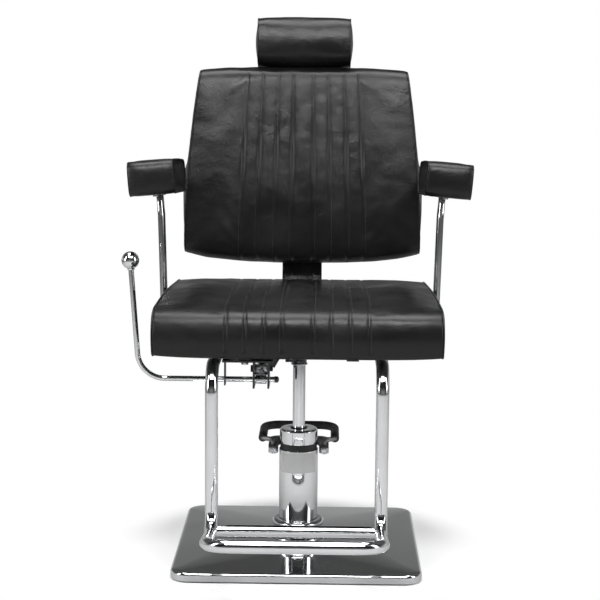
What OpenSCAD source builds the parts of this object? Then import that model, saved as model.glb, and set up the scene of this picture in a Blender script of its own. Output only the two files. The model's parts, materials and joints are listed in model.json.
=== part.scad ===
// Hydraulic barber chair: pump on a square base, swivelling lift seat, reclining back,
// sliding headrest, fixed arms and a tubular footrest.
// Millimetres, +Z up, the sitter faces -Y, and +X is on the sitter's left.
// The origin is on the floor under the pump's axis.

/* [Base] */
// Side of the square base
base_size = 500; // [470:5:530]
// Radius of the base's corners, seen from above
base_corner_r = 38; // [30:1:45]
// Height of the base's rim
base_rim_h = 20; // [18:1:22]

/* [Pump] */
// Outer diameter of the chromed pump sleeve
sleeve_d = 81; // [79:1:82]
// Height at which the sleeve ends
sleeve_top = 215; // [212:1:217]
// Diameter of the lifting ram
ram_d = 26; // [24:1:28]

/* [Pedal] */
// Half the distance between the two sides of the pedal loop
pedal_half_w = 76; // [72:1:80]
// How far behind the pump's axis the loop's rear bar lies
pedal_reach = 139; // [130:1:145]
// Outer diameter of the rubber grip
grip_d = 18; // [16:1:20]

/* [Seat] */
// Width of the seat cushion at the front
seat_front_w = 566; // [540:2:570]
// Width of the seat cushion at the rear
seat_rear_w = 532; // [520:2:540]
// Height of the seat cushion's underside above the floor
seat_z = 452; // [450:1:456]
// Thickness of the seat cushion
seat_t = 100; // [90:1:110]

/* [Back] */
// Lean of the backrest from upright, at rest
back_lean = 12; // [11:1:13]
// Height of the backrest along its own slope
back_h = 422; // [410:2:430]
// Width of the backrest at its lower edge
back_low_w = 516; // [500:2:520]
// Width of the backrest at its upper edge
back_top_w = 460; // [450:2:470]
// Thickness of the backrest
back_t = 86; // [82:1:90]

/* [Headrest] */
// Width of the headrest
head_w = 212; // [200:2:220]
// Height of the headrest
head_h = 112; // [105:1:116]

/* [Arms] */
// Distance from the middle of the chair to the middle of an arm pad
arm_x = 297; // [294:1:300]
// Length of an arm pad
arm_len = 308; // [300:2:312]
// Height of the middle of the arm pads above the floor
arm_z = 779; // [776:1:782]

/* [Footrest] */
// Diameter of the footrest tube
foot_tube_d = 25.4; // [24:0.2:26]
// Half the distance between the two legs of the footrest
foot_half_w = 166; // [164:1:168]
// How far the front bar lies ahead of the pump's axis
foot_reach = 440; // [420:5:450]

/* [Recline lever] */
// Diameter of the lever rod
lever_d = 11; // [10:1:12]
// Diameter of the ball on the lever
ball_d = 36; // [32:1:40]

/* [Hidden] */
$fn = 64;

eps = 0.5;                  // overshoot of a cutter past the face it opens
run_fit = 0.05;             // radial clearance of a running fit
hull_fn = 28;               // facets of the shapes inside a hull
bend_skin = 0.02;           // how much thinner a bend is than its straights
bend_lap = 0.6;             // how far it runs into them
$skin = 0;
bolt_d = 8;                 // shank of the frame's hex bolts
hex_r = 7.5;                // corner radius of their heads
hex_h = 5.5;                // height of their heads

// Base and pump
mat_t = 3;                  // rubber mat under the base
mat_inset = 5;
ballast_inset = 8;
ballast_t = 8;              // steel ballast plate
ballast_top = mat_t + ballast_t;
cover_t = 2;                // pressed steel cover
cover_top = 26;             // the cover's crown, around the pump
crown_r = 70;               // flat middle of the crown
crown_step = 1.5;           // the crown's height above its outer ring
crown_ring_r = 150;
sleeve_r = sleeve_d / 2;
sleeve_wall = 2;
collar_h = 40;
band_h = 14;                // rubber band between the sleeve and the cap
cap_z = sleeve_top + band_h;
cap_h = 30;
cap_r = sleeve_r - 1;
cap_edge = 3;               // chamfer of the cap
bush_low = cap_z + 7;       // the bush sits on the pump body, inside the cap
bush_wall = 4;
bush_top = cap_z + cap_h - 4;
foot_screw_h = 12;          // how far the foot's screws go in
foot_r = 48;                // pump body's foot
screw_ring_r = 37;          // circle of the four screws through the foot
body_r = 30;                // pump body's tube
bore_r = 22;                // pump body's bore
bore_floor = 20;
ram_r = ram_d / 2;
ram_low = 60;
ram_shoulder = 394;         // the ram's seat for the thrust bearing
spindle_r = 10;
spindle_top = 444;
piston_h = 20;

// Pedal: it rocks on a pin behind the pump and presses a plunger with its rear edge
pedal_pivot_y = 50;
pedal_pivot_z = 214;
pedal_pin_r = 4;
yoke_z = 218;
yoke_t = 5;
yoke_out = 63;
yoke_in = sleeve_r + 2.5;
yoke_front = -12;
yoke_rear = 80;
knuckle_half = 12.5;
ear_gap = 0.3;
ear_t = 4;
ear_r = 7;
yoke_corner_r = 22;
nut_h = 13;                 // nuts under the yoke
nut_r = 10.5;
rod_r = 5;
rod_step_y = 11;            // where the rod leaves the yoke for the loop
grip_start = 14;
rod_x = 53;                 // where a pedal rod goes through the yoke
loop_z = 233;
plunger_y = 72;
plunger_r = 4;
plunger_low = 172;
block_y = [30, 86];         // cast block behind the pump
block_half_w = 17;
block_low = 150;
block_top = 204;

// Seat frame
rail_x = 110;
rail_w = 25;
rail_h = 36;
rail_z = seat_z - rail_h;
rail_y = [-82, 190];
board_t = 12;
board_inset = 17;           // seat board, in from the cushion's sides
board_corner_r = 30;
hub_gap = 3.5;              // thrust bearing between the ram's shoulder and the hub
plate_h = 6;                // steel plate between the rails
hub_screw_z = ram_shoulder + 7.5;
hub_screw_r = 2.5;
arm_leg_y = 20;             // where the arm posts and their lower legs lie
foot_r_tube = foot_tube_d / 2;
foot_z = seat_z - 22;       // axis of the footrest tube under the seat
foot_leg_y = -245;
foot_low_z = 103;
foot_front_z = 134;
seat_y = [-270, 220];
rail_bolts_y = [10, 150];   // bolts from the rails up into the board
bracket_bolts_y = [-74, -32];
clamps_y = [-5, 90];        // the blocks that hold the footrest's ends
clamp_bolts_dx = [-19, 19];
arm_bolts_x = [200, 225];
small_bolt_d = 6;

// Recline hinge, gas spring and its release lever
hinge_y = 205;
hinge_z = 430;
hinge_r = 6;
knuckle_r = 11;
lug_r = 42;                 // hinge to gas spring pin
lug_angle = 17.5;           // the lug's angle from upright, half of the recline travel
gas_x = -77;
gas_z = hinge_z - lug_r * (1 + cos(lug_angle)) / 2;
gas_pin_y = hinge_y + lug_r * sin(lug_angle);
gas_pin_z = hinge_z - lug_r * cos(lug_angle);
gas_pin_r = 4;
eye_slack = 1.6;            // the eye's bore stays round the pin as the lug swings
gas_r = 11;
lever_y = -60;
lever_z = 373;
lever_r = lever_d / 2;
plates_x = [-151, -92, -62];
gas_bolt_y = -28;
gas_bolt_r = 4;
gas_rod_r = 4;
finger_reach = 3;           // half the thickness of the lever's finger

// Backrest frame: X across, Y towards the rear, Z up the slope, from the lower edge's middle
back_y = 245;
back_z = 590;
back_half_t = back_t / 2;
panel_t = 2;
back_board_inset = 22;      // from the backrest's outline
back_panel_inset = 16;
bar_w = 88;
bar_t = 8;
bar_face = back_half_t + panel_t;
bar_top = 205;
bar_bolts_z = [60, 180];
post_w = 28;
post_t = 5;
post_y = 25.5;              // middle of the headrest post, behind the backrest's middle
guide_wall = 2.7;
guide_low = 170;
post_low = 200;
head_low = back_h + 2;
head_t = 88;
head_y = 4;

// Arms
arm_w = 92;
arm_h = 68;
arm_fall = 3.6;             // slope of the pads, down to the rear
arm_roll = 5;               // lean of the pads, down to the outside
arm_mid_y = 35;
plate_t = 4;
arm_screws_y = [-70, 70];
arm_leg_x = 190;            // inner end of a post's leg
arm_foot_x = 281.5;         // where a post turns up beside the seat
arm_knee = [288, 700];      // x and z where it leans out to the pad
arm_top = [292, 760];
core_half_w = 34;
core_inset = 24;

// ---- Shared shapes ----

function unit(v) = v / norm(v);
function turn(a, b, c) = acos(min(1, unit(b - a) * unit(c - b)));
function bend_axis(a, b, c) = unit(cross(b - a, c - b));

// Places a profile at p with its normal along d and its second axis along up
module facing(p, d, up) {
    x = unit(cross(up, d));
    y = cross(d, x);
    multmatrix([[x[0], y[0], d[0], p[0]], [x[1], y[1], d[1], p[1]], [x[2], y[2], d[2], p[2]], [0, 0, 0, 1]])
        children();
}

// A straight-and-bent bar along the points, with one bend radius for each inner point. The bends
// are thinner by $skin and run a little way into the straights, so that no two faces coincide.
module bent_bar(points, bends) {
    last = len(points) - 1;
    for (i = [0:last - 1]) {
        d = unit(points[i + 1] - points[i]);
        from = i == 0 ? 0 : bends[i - 1] * tan(turn(points[i - 1], points[i], points[i + 1]) / 2);
        to = i == last - 1 ? 0 : bends[i] * tan(turn(points[i], points[i + 1], points[i + 2]) / 2);
        k = max(i, 1);
        side = bend_axis(points[k - 1], points[k], points[k + 1]);
        facing(points[i] + d * from, d, side)
            linear_extrude(norm(points[i + 1] - points[i]) - from - to) children();
    }
    for (i = [1:last - 1]) {
        d1 = unit(points[i] - points[i - 1]);
        d2 = unit(points[i + 1] - points[i]);
        angle = turn(points[i - 1], points[i], points[i + 1]);
        r = bends[i - 1];
        centre = points[i] + unit(d2 - d1) * r / cos(angle / 2);
        x = (points[i] - d1 * r * tan(angle / 2) - centre) / r;
        z = cross(x, d1);
        lap = bend_lap / r * 180 / PI;
        multmatrix([[x[0], d1[0], z[0], centre[0]], [x[1], d1[1], z[1], centre[1]],
                    [x[2], d1[2], z[2], centre[2]], [0, 0, 0, 1]])
            rotate([0, 0, -lap]) rotate_extrude(angle = angle + 2 * lap) translate([r, 0])
                let($skin = bend_skin) children();
    }
}

module rod_profile(r) {
    circle(r = r - $skin);
}

module ring(outer_d, wall) {
    difference() {
        circle(d = outer_d - 2 * $skin);
        circle(d = outer_d - 2 * wall + 2 * $skin);
    }
}

module oval_profile(thick, wide) {
    flat = wide - thick;
    square([thick - 2 * $skin, flat], center = true);
    for (s = [-1, 1]) translate([0, s * flat / 2]) circle(d = thick - 2 * $skin);
}

module round_square(w, d, r) {
    square([w - 2 * r, d], center = true);
    square([w, d - 2 * r], center = true);
    for (x = [-1, 1], y = [-1, 1])
        translate([x * (w / 2 - r), y * (d / 2 - r)]) circle(r = r);
}

module pipe(r_out, r_in, z0, z1) {
    difference() {
        translate([0, 0, z0]) cylinder(r = r_out, h = z1 - z0);
        translate([0, 0, z0 - eps]) cylinder(r = r_in, h = z1 - z0 + 2 * eps);
    }
}

// A cylinder along X that starts at x0
module along_x(x0, x1, y, z, r) {
    translate([x0, y, z]) rotate([0, 90, 0]) cylinder(r = r, h = x1 - x0);
}

// A cylinder along Y that starts at y0
module along_y(x, y0, y1, z, r) {
    translate([x, y0, z]) rotate([-90, 0, 0]) cylinder(r = r, h = y1 - y0);
}

// A hex bolt with its head's underside at the origin and its shank along +Z
module hex_bolt(length, d = bolt_d) {
    cylinder(d = d, h = length);
    translate([0, 0, -hex_h]) cylinder(r = hex_r * d / bolt_d, h = hex_h, $fn = 6);
}

// A soft block with round corners, from p0 to p1
module soft_block(p0, p1, r) {
    hull()
        for (x = [p0[0] + r, p1[0] - r], y = [p0[1] + r, p1[1] - r], z = [p0[2] + r, p1[2] - r])
            translate([x, y, z]) sphere(r = r, $fn = hull_fn);
}

// The backrest's own frame
module at_back() {
    translate([0, back_y, back_z]) rotate([-back_lean, 0, 0]) children();
}
function back_w(y, z) = (y - back_y) * cos(back_lean) - (z - back_z) * sin(back_lean);
function back_v(y, z) = (y - back_y) * sin(back_lean) + (z - back_z) * cos(back_lean);

// An arm pad's own frame: side is -1 or 1, and the pad's middle is the origin
module at_arm(side) {
    translate([side * arm_x, arm_mid_y, arm_z]) rotate([-arm_fall, side * arm_roll, 0]) children();
}

// ---- Base ----

// Rubber mat that the chair stands on
module base_mat() {
    side = base_size - 2 * mat_inset;
    color("dimgray") linear_extrude(mat_t) round_square(side, side, base_corner_r - mat_inset);
}

module ring_of_screws() {
    for (a = [45:90:315])
        rotate([0, 0, a]) translate([screw_ring_r, 0, 0]) children();
}

// Steel plate that carries the pump and keeps the chair from tipping
module ballast_plate() {
    side = base_size - 2 * ballast_inset;
    color("gray") difference() {
        translate([0, 0, mat_t]) linear_extrude(ballast_t)
            round_square(side, side, base_corner_r - ballast_inset);
        ring_of_screws() {
            cylinder(d = bolt_d, h = ballast_top + eps);
            cylinder(r = hex_r, h = mat_t + hex_h);
        }
    }
}

// The outside of the pressed cover: a round-edged rim under a low crown
module cover_block(grow, floor_z) {
    edge_r = 6;
    corner = base_size / 2 - base_corner_r;
    hull() {
        for (x = [-corner, corner], y = [-corner, corner]) translate([x, y, 0]) {
            translate([0, 0, floor_z]) cylinder(r = base_corner_r + grow, h = 1, $fn = 40);
            translate([0, 0, base_rim_h - edge_r]) rotate_extrude($fn = 40)
                translate([base_corner_r - edge_r, 0]) circle(r = edge_r + grow, $fn = 16);
        }
        translate([0, 0, base_rim_h]) cylinder(r = crown_ring_r, h = cover_top - base_rim_h - crown_step + grow);
        translate([0, 0, base_rim_h]) cylinder(r = crown_r, h = cover_top - base_rim_h + grow);
    }
}

// Chromed pressed-steel cover
module base_cover() {
    color("silver") difference() {
        cover_block(0, mat_t);
        difference() {
            cover_block(-cover_t, 0);
            translate([-base_size, -base_size, -base_size]) cube([2 * base_size, 2 * base_size, base_size]);
        }
        cylinder(r = foot_r + 0.5, h = cover_top + eps);
    }
}

// ---- Pump ----

// Cast body with the ram's bore and a foot that is screwed to the ballast plate
module pump_body() {
    color("gray") difference() {
        union() {
            translate([0, 0, ballast_top]) cylinder(r = foot_r, h = cover_top - ballast_top);
            translate([0, 0, ballast_top]) cylinder(r = body_r, h = bush_low - ballast_top);
        }
        translate([0, 0, bore_floor]) cylinder(r = bore_r, h = cap_z);
        ring_of_screws() cylinder(d = bolt_d, h = ballast_top + foot_screw_h);
    }
}

// Four screws that come up through the ballast plate
module pump_screws() {
    head_z = mat_t + hex_h;
    color("silver") ring_of_screws()
        translate([0, 0, head_z]) hex_bolt(ballast_top + foot_screw_h - head_z);
}

// Chromed outer sleeve
module pump_sleeve() {
    color("silver") pipe(sleeve_r, sleeve_r - sleeve_wall, cover_top, sleeve_top);
}

// Flared collar round the sleeve's foot: a skirt, a neck and a bead
module pump_collar() {
    skirt = sleeve_r + 17;
    neck = sleeve_r + 8;
    bead = sleeve_r + 14;
    color("silver") rotate_extrude()
        polygon([[sleeve_r, cover_top], [skirt, cover_top], [skirt, cover_top + 4], [neck, cover_top + 12],
                 [neck, cover_top + 24], [bead, cover_top + 30], [bead, cover_top + collar_h - 3],
                 [bead - 3, cover_top + collar_h], [sleeve_r, cover_top + collar_h]]);
}

// Blank plate on the front of the sleeve
module pump_plate() {
    span = 118;
    low = 170;
    high = 213;
    film = 0.4;
    color("whitesmoke") rotate([0, 0, 270 - span / 2]) rotate_extrude(angle = span)
        translate([sleeve_r, low]) square([film, high - low]);
}

// Rubber band between the sleeve and the cap
module seal_band() {
    color("black") pipe(sleeve_r - sleeve_wall, body_r, sleeve_top, cap_z);
}

// Chromed cap over the pump
module pump_cap() {
    color("silver") rotate_extrude()
        polygon([[body_r, cap_z], [cap_r, cap_z], [cap_r, cap_z + cap_h - cap_edge],
                 [cap_r - cap_edge, cap_z + cap_h], [ram_r + bush_wall, cap_z + cap_h],
                 [ram_r + bush_wall, bush_low], [body_r, bush_low]]);
}

// Bronze bush that guides the ram
module rod_bush() {
    color("peru") pipe(ram_r + bush_wall, ram_r + run_fit, bush_low, bush_top);
}

// Wiper ring where the ram leaves the cap
module wiper_ring() {
    color("black") pipe(ram_r + bush_wall, ram_r + 0.3, bush_top, cap_z + cap_h + 1.5);
}

// Cast block behind the pump: the plunger's bore and the ears of the pedal's hinge
module valve_block() {
    ear_x = knuckle_half + ear_gap;
    color("gray") difference() {
        union() {
            translate([-block_half_w, block_y[0], block_low])
                cube([2 * block_half_w, block_y[1] - block_y[0], block_top - block_low]);
            for (s = [-1, 1]) {
                x0 = s > 0 ? ear_x : -ear_x - ear_t;
                along_x(x0, x0 + ear_t, pedal_pivot_y, pedal_pivot_z, ear_r);
                translate([x0, pedal_pivot_y - ear_r, block_top - 1])
                    cube([ear_t, 2 * ear_r, pedal_pivot_z - block_top + 1]);
            }
        }
        cylinder(r = sleeve_r, h = sleeve_top);
        along_x(-20, 20, pedal_pivot_y, pedal_pivot_z, pedal_pin_r);
        translate([0, plunger_y, plunger_low - 12]) cylinder(r = plunger_r + run_fit, h = block_top);
    }
}

module pedal_pin() {
    color("silver") along_x(-19, 19, pedal_pivot_y, pedal_pivot_z, pedal_pin_r);
}

// ---- Pedal ----

// Flat U-shaped yoke that straddles the pump
module pedal_yoke() {
    slot_w = ear_t + 2 * ear_gap + 0.4;
    color("black") difference() {
        union() {
            translate([0, 0, yoke_z]) linear_extrude(yoke_t) difference() {
                union() {
                    translate([-yoke_out, yoke_front]) square([2 * yoke_out, 70]);
                    translate([-yoke_out + yoke_corner_r, yoke_front])
                        square([2 * (yoke_out - yoke_corner_r), yoke_rear - yoke_front]);
                    for (s = [-1, 1]) translate([s * (yoke_out - yoke_corner_r), yoke_rear - yoke_corner_r])
                        circle(r = yoke_corner_r);
                }
                circle(r = yoke_in);
                translate([-yoke_in, yoke_front - eps]) square([2 * yoke_in, -yoke_front + eps]);
                for (s = [-1, 1])
                    translate([s * (knuckle_half + ear_gap + ear_t / 2) - slot_w / 2, 0]) square([slot_w, 61]);
            }
            along_x(-knuckle_half, knuckle_half, pedal_pivot_y, pedal_pivot_z, ear_r);
        }
        along_x(-knuckle_half - 1, knuckle_half + 1, pedal_pivot_y, pedal_pivot_z, pedal_pin_r + run_fit);
        for (s = [-1, 1]) translate([s * rod_x, 0, yoke_z - eps]) cylinder(r = rod_r, h = yoke_t + 2 * eps);
    }
}

function pedal_route() = [
    [-rod_x, 0, yoke_z - nut_h - 2], [-rod_x, 0, loop_z], [-pedal_half_w, rod_step_y, loop_z],
    [-pedal_half_w, pedal_reach, loop_z], [pedal_half_w, pedal_reach, loop_z],
    [pedal_half_w, rod_step_y, loop_z], [rod_x, 0, loop_z], [rod_x, 0, yoke_z - nut_h - 2]
];

// Bent steel rod, bolted to the yoke at both ends
module pedal_rod() {
    color("gray") bent_bar(pedal_route(), [8, 9, 34, 34, 9, 8]) rod_profile(rod_r);
}

// Rubber grip pushed over the rod
module pedal_grip() {
    route = pedal_route();
    start = [0, grip_start, 0];
    color("black") bent_bar([route[2] + start, route[3], route[4], route[5] + start], [34, 34])
        ring(grip_d, grip_d / 2 - rod_r);
}

module pedal_nuts() {
    color("silver") for (s = [-1, 1]) translate([s * rod_x, 0, yoke_z - nut_h]) difference() {
        cylinder(r = nut_r, h = nut_h, $fn = 6);
        translate([0, 0, -eps]) cylinder(r = rod_r, h = nut_h + 2 * eps);
    }
}

// Spring-returned plunger that the yoke presses to pump oil
module pump_plunger() {
    color("silver") translate([0, plunger_y, plunger_low]) cylinder(r = plunger_r, h = yoke_z - 0.2 - plunger_low);
}

// ---- Ram ----

// Chromed ram with a thinner spindle that the seat turns on
module ram() {
    color("silver") {
        translate([0, 0, ram_low]) cylinder(r = ram_r, h = ram_shoulder - ram_low);
        translate([0, 0, ram_shoulder - 1]) cylinder(r = spindle_r, h = spindle_top - ram_shoulder + 1);
    }
}

module piston() {
    color("gray") difference() {
        pipe(bore_r - run_fit, ram_r, ram_low - 8, ram_low - 8 + piston_h);
        pipe(bore_r + 1, bore_r - 3, ram_low - 1, ram_low + 5);
    }
}

module thrust_bearing() {
    color("gray") pipe(17, spindle_r, ram_shoulder, ram_shoulder + 3);
}

// ---- Seat frame ----

// Flared hub under the seat plate, which turns on the ram's spindle
module seat_hub() {
    hub_z = ram_shoulder + hub_gap;
    top = seat_z - plate_h;
    in_r = spindle_r + run_fit;
    color("black") difference() {
        rotate_extrude()
            polygon([[in_r, hub_z], [15, hub_z], [15, hub_z + 7], [20, hub_z + 10], [20, top - 10],
                     [30, top], [in_r, top]]);
        along_x(-31, 0, 0, hub_screw_z, hub_screw_r);
    }
}

// Small screw that keeps the hub on the spindle
module swivel_screw() {
    tip = -29;
    color("black") {
        along_x(tip, -spindle_r - 0.4, 0, hub_screw_z, hub_screw_r);
        along_x(tip, -16, 0, hub_screw_z, hub_screw_r + 1);
    }
}

// Steel plate between the rails
module seat_plate() {
    inner = rail_x - rail_w / 2;
    color("black") difference() {
        translate([-inner, -75, seat_z - plate_h]) cube([2 * inner, 150, plate_h]);
        translate([0, 0, seat_z - plate_h - eps]) cylinder(r = spindle_r + 1, h = plate_h + 2 * eps);
    }
}

// Two box-section rails
module seat_rails() {
    wall = 2.5;
    color("black") for (s = [-1, 1]) translate([s * rail_x, 0, 0]) difference() {
        translate([-rail_w / 2, rail_y[0], rail_z]) cube([rail_w, rail_y[1] - rail_y[0], rail_h]);
        translate([-rail_w / 2 + wall, rail_y[0] - eps, rail_z + wall])
            cube([rail_w - 2 * wall, rail_y[1] - rail_y[0] + 2 * eps, rail_h - 2 * wall]);
        for (y = rail_bolts_y) translate([0, y, rail_z - 1]) cylinder(d = bolt_d, h = rail_h + 2);
        if (s < 0)
            for (y = bracket_bolts_y) translate([0, y, rail_z - 1]) cylinder(d = bolt_d, h = wall + 2);
    }
}

// Hex bolts: rails to the board, and lever bracket to the left rail
module frame_bolts() {
    color("silver") {
        for (s = [-1, 1], y = rail_bolts_y) translate([s * rail_x, y, rail_z]) hex_bolt(rail_h + 9);
        for (y = bracket_bolts_y) translate([-rail_x, y, rail_z - 4]) hex_bolt(16);
        for (s = [-1, 1], y = clamps_y, dx = clamp_bolts_dx)
            translate([s * foot_half_w + dx, y, rail_z]) hex_bolt(rail_h + 9, small_bolt_d);
        for (s = [-1, 1], x = arm_bolts_x) translate([s * x, arm_leg_y, seat_z - 13]) hex_bolt(22, small_bolt_d);
    }
}

// Plywood board under the cushion
module seat_board() {
    color("burlywood") difference() {
        translate([0, (seat_y[0] + seat_y[1]) / 2, seat_z]) linear_extrude(board_t)
            round_square(seat_rear_w - 2 * board_inset, seat_y[1] - seat_y[0] - 36, board_corner_r);
        for (s = [-1, 1], y = rail_bolts_y) translate([s * rail_x, y, seat_z - 1]) cylinder(d = bolt_d, h = 10);
        for (s = [-1, 1], y = clamps_y, dx = clamp_bolts_dx)
            translate([s * foot_half_w + dx, y, seat_z - 1]) cylinder(d = small_bolt_d, h = 10);
        for (s = [-1, 1], x = arm_bolts_x)
            translate([s * x, arm_leg_y, seat_z - 1]) cylinder(d = small_bolt_d, h = 10);
    }
}

// Upholstered seat cushion
module seat_cushion() {
    r = 26;
    low = seat_z + r * 0.6;
    high = seat_z + seat_t - r;
    color("black") difference() {
        hull() {
            for (s = [-1, 1], z = [low, high]) {
                translate([s * (seat_front_w / 2 - r), seat_y[0] + r, z]) sphere(r = r, $fn = hull_fn);
                translate([s * (seat_rear_w / 2 - r), seat_y[1] - r, z]) sphere(r = r, $fn = hull_fn);
            }
            translate([0, seat_y[0] + 60, high + 4]) rotate([0, 90, 0])
                cylinder(r = r, h = seat_front_w - 180, center = true, $fn = hull_fn);
        }
        translate([-seat_front_w, seat_y[0] - 50, seat_z - 50]) cube([2 * seat_front_w, 700, 50]);
        translate([0, (seat_y[0] + seat_y[1]) / 2, seat_z - 1]) linear_extrude(board_t + 1)
            round_square(seat_rear_w - 2 * board_inset, seat_y[1] - seat_y[0] - 36, board_corner_r);
    }
}

// ---- Footrest ----

// One bent tube: under the seat, down both legs and round the front
module footrest_tube() {
    rear = 110;
    color("silver") bent_bar([
        [-foot_half_w, rear, foot_z], [-foot_half_w, foot_leg_y, foot_z], [-foot_half_w, foot_leg_y, foot_low_z],
        [-foot_half_w, -foot_reach, foot_front_z], [foot_half_w, -foot_reach, foot_front_z],
        [foot_half_w, foot_leg_y, foot_low_z], [foot_half_w, foot_leg_y, foot_z], [foot_half_w, rear, foot_z]
    ], [50, 40, 50, 50, 40, 50]) ring(foot_tube_d, 1.8);
}

// Straight tube welded between the legs
module footrest_crossbar() {
    color("silver") difference() {
        along_x(-foot_half_w, foot_half_w, foot_leg_y - 10, foot_low_z + 6, foot_r_tube);
        along_x(-foot_half_w - 1, foot_half_w + 1, foot_leg_y - 10, foot_low_z + 6, foot_r_tube - 1.8);
        for (s = [-1, 1]) bent_bar([
            [s * foot_half_w, foot_leg_y, foot_z - 60], [s * foot_half_w, foot_leg_y, foot_low_z],
            [s * foot_half_w, -foot_reach + 60, foot_front_z - 9.5]
        ], [40]) rod_profile(foot_r_tube);
    }
}

// Blocks that clamp the tube's ends up to the seat board
module footrest_clamps() {
    color("black") for (s = [-1, 1], y = clamps_y) difference() {
        translate([s * foot_half_w - 24, y - 10, rail_z]) cube([48, 20, rail_h]);
        along_y(s * foot_half_w, y - 11, y + 11, foot_z, foot_r_tube);
        for (dx = clamp_bolts_dx)
            translate([s * foot_half_w + dx, y, rail_z - 1]) cylinder(d = small_bolt_d, h = rail_h + 2);
    }
}

// ---- Arms ----

// Flat-oval chromed bar: a leg under the seat, then up and slightly outwards to the pad
module arm_post(side) {
    thick = 13;
    leg_z = seat_z - thick / 2;
    difference() {
        bent_bar([[side * arm_leg_x, arm_leg_y, leg_z], [side * arm_foot_x, arm_leg_y, leg_z],
                  [side * arm_knee[0], arm_leg_y, arm_knee[1]], [side * arm_top[0], arm_leg_y, arm_top[1]]],
                 [16, 60]) oval_profile(thick, 38);
        at_arm(side) translate([-arm_w, -arm_len / 2, -arm_h / 2]) cube([2 * arm_w, arm_len, arm_h]);
        for (x = arm_bolts_x)
            translate([side * x, arm_leg_y, leg_z - thick]) cylinder(d = small_bolt_d, h = 2 * thick);
    }
}
module arm_post_left() { color("silver") arm_post(-1); }
module arm_post_right() { color("silver") arm_post(1); }

// Steel strips on top of the posts
module arm_plates() {
    color("black") for (s = [-1, 1]) at_arm(s) difference() {
        translate([-20, -90, -arm_h / 2]) cube([40, 180, plate_t]); // a strip 40 wide and 180 long
        for (y = arm_screws_y) translate([0, y, -arm_h / 2 - 1]) cylinder(d = small_bolt_d, h = plate_t + 2);
    }
}

// Screws through the strips into the wooden cores
module arm_screws() {
    color("silver") for (s = [-1, 1], y = arm_screws_y) at_arm(s)
        translate([0, y, -arm_h / 2]) hex_bolt(14, small_bolt_d);
}

// Plywood cores of the pads
module arm_cores() {
    color("burlywood") for (s = [-1, 1]) at_arm(s) difference() {
        translate([-core_half_w, -arm_len / 2 + core_inset, -arm_h / 2 + plate_t])
            cube([2 * core_half_w, arm_len - 2 * core_inset, board_t]);
        for (y = arm_screws_y) translate([0, y, -arm_h / 2]) cylinder(d = small_bolt_d, h = 14);
    }
}

// Upholstered arm pad round its core
module arm_pad(side) {
    at_arm(side) difference() {
        soft_block([-arm_w / 2, -arm_len / 2, -arm_h / 2], [arm_w / 2, arm_len / 2, arm_h / 2], 20);
        translate([-core_half_w, -arm_len / 2 + core_inset, -arm_h])
            cube([2 * core_half_w, arm_len - 2 * core_inset, arm_h / 2 + plate_t + board_t]);
    }
}
module arm_pad_left() { color("black") arm_pad(-1); }
module arm_pad_right() { color("black") arm_pad(1); }

// ---- Recline lever and its bracket ----

// Folded steel bracket: a top flange with three hanging plates and a gusset
module lever_bracket() {
    flange_t = 4;
    plate_front = lever_y - 14;
    outer_low = 362;
    inner_low = 356;
    gusset_low = 384;
    color("black") difference() {
        union() {
            translate([-156, -86, rail_z - flange_t]) cube([103, 66, flange_t]);
            translate([plates_x[0] - 1.5, plate_front, outer_low]) cube([3, 28, rail_z - outer_low]);
            for (x = [plates_x[1], plates_x[2]])
                translate([x - 2, plate_front, inner_low]) cube([4, 52, rail_z - inner_low]);
            translate([plates_x[2] - 2, lever_y + 34, 0]) rotate([90, 0, 0]) linear_extrude(flange_t)
                polygon([[0, rail_z], [0, gusset_low], [9, gusset_low], [24, rail_z - 6], [24, rail_z]]);
        }
        along_x(plates_x[0] - 10, plates_x[2] + 10, lever_y, lever_z, lever_r + run_fit);
        along_x(plates_x[1] - 10, plates_x[2] + 10, gas_bolt_y, gas_z, gas_bolt_r);
        for (y = bracket_bolts_y) translate([-rail_x, y, rail_z - 5]) cylinder(d = bolt_d, h = 6);
    }
}

function lever_route() = [
    [-344, lever_y, 616], [-327, lever_y, lever_z], [plates_x[2] + 12, lever_y, lever_z]
];

// Bent chromed rod
module lever_rod() {
    color("silver") bent_bar(lever_route(), [56]) rod_profile(lever_r);
}

// Ball knob on the rod's end
module lever_ball() {
    route = lever_route();
    color("silver") difference() {
        translate(route[0]) sphere(d = ball_d);
        bent_bar(lever_route(), [56]) rod_profile(lever_r);
    }
}

// Collar on the rod with the finger that pushes the gas spring's pin
module lever_cam() {
    width = 22;
    color("silver") difference() {
        union() {
            along_x(gas_x - width / 2, gas_x + width / 2, lever_y, lever_z, 9);
            translate([gas_x - 4, lever_y - finger_reach, lever_z])
                cube([8, 2 * finger_reach, gas_z - lever_z + 5]);
        }
        along_x(gas_x - width, gas_x + width, lever_y, lever_z, lever_r);
    }
}

// Threaded stud and dome nut on the rod's inner end
module lever_stud() {
    x = plates_x[2] + 12;
    color("silver") {
        along_x(x, x + 7, lever_y, lever_z, 6.5);
        translate([x + 7, lever_y, lever_z]) rotate([0, 90, 0]) cylinder(r1 = 6.5, r2 = 4, h = 2.5);
    }
}

// Pin that opens the gas spring's valve
module release_pin() {
    color("silver") along_y(gas_x, lever_y + 3.3, lever_y + 15, gas_z, 2.5);
}

// ---- Recline hinge and gas spring ----

// Two ears on the rails that hold the hinge pin
module hinge_ears() {
    inner = rail_x - rail_w / 2;
    color("black") for (s = [-1, 1]) difference() {
        translate([s > 0 ? inner - 5 : -inner, 165, hinge_z - 18]) cube([5, 55, seat_z - hinge_z + 18]);
        along_x(-inner - 1, inner + 1, hinge_y, hinge_z, hinge_r);
    }
}

module hinge_pin() {
    inner = rail_x - rail_w / 2;
    color("silver") {
        along_x(-inner, inner, hinge_y, hinge_z, hinge_r);
    }
}

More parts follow.
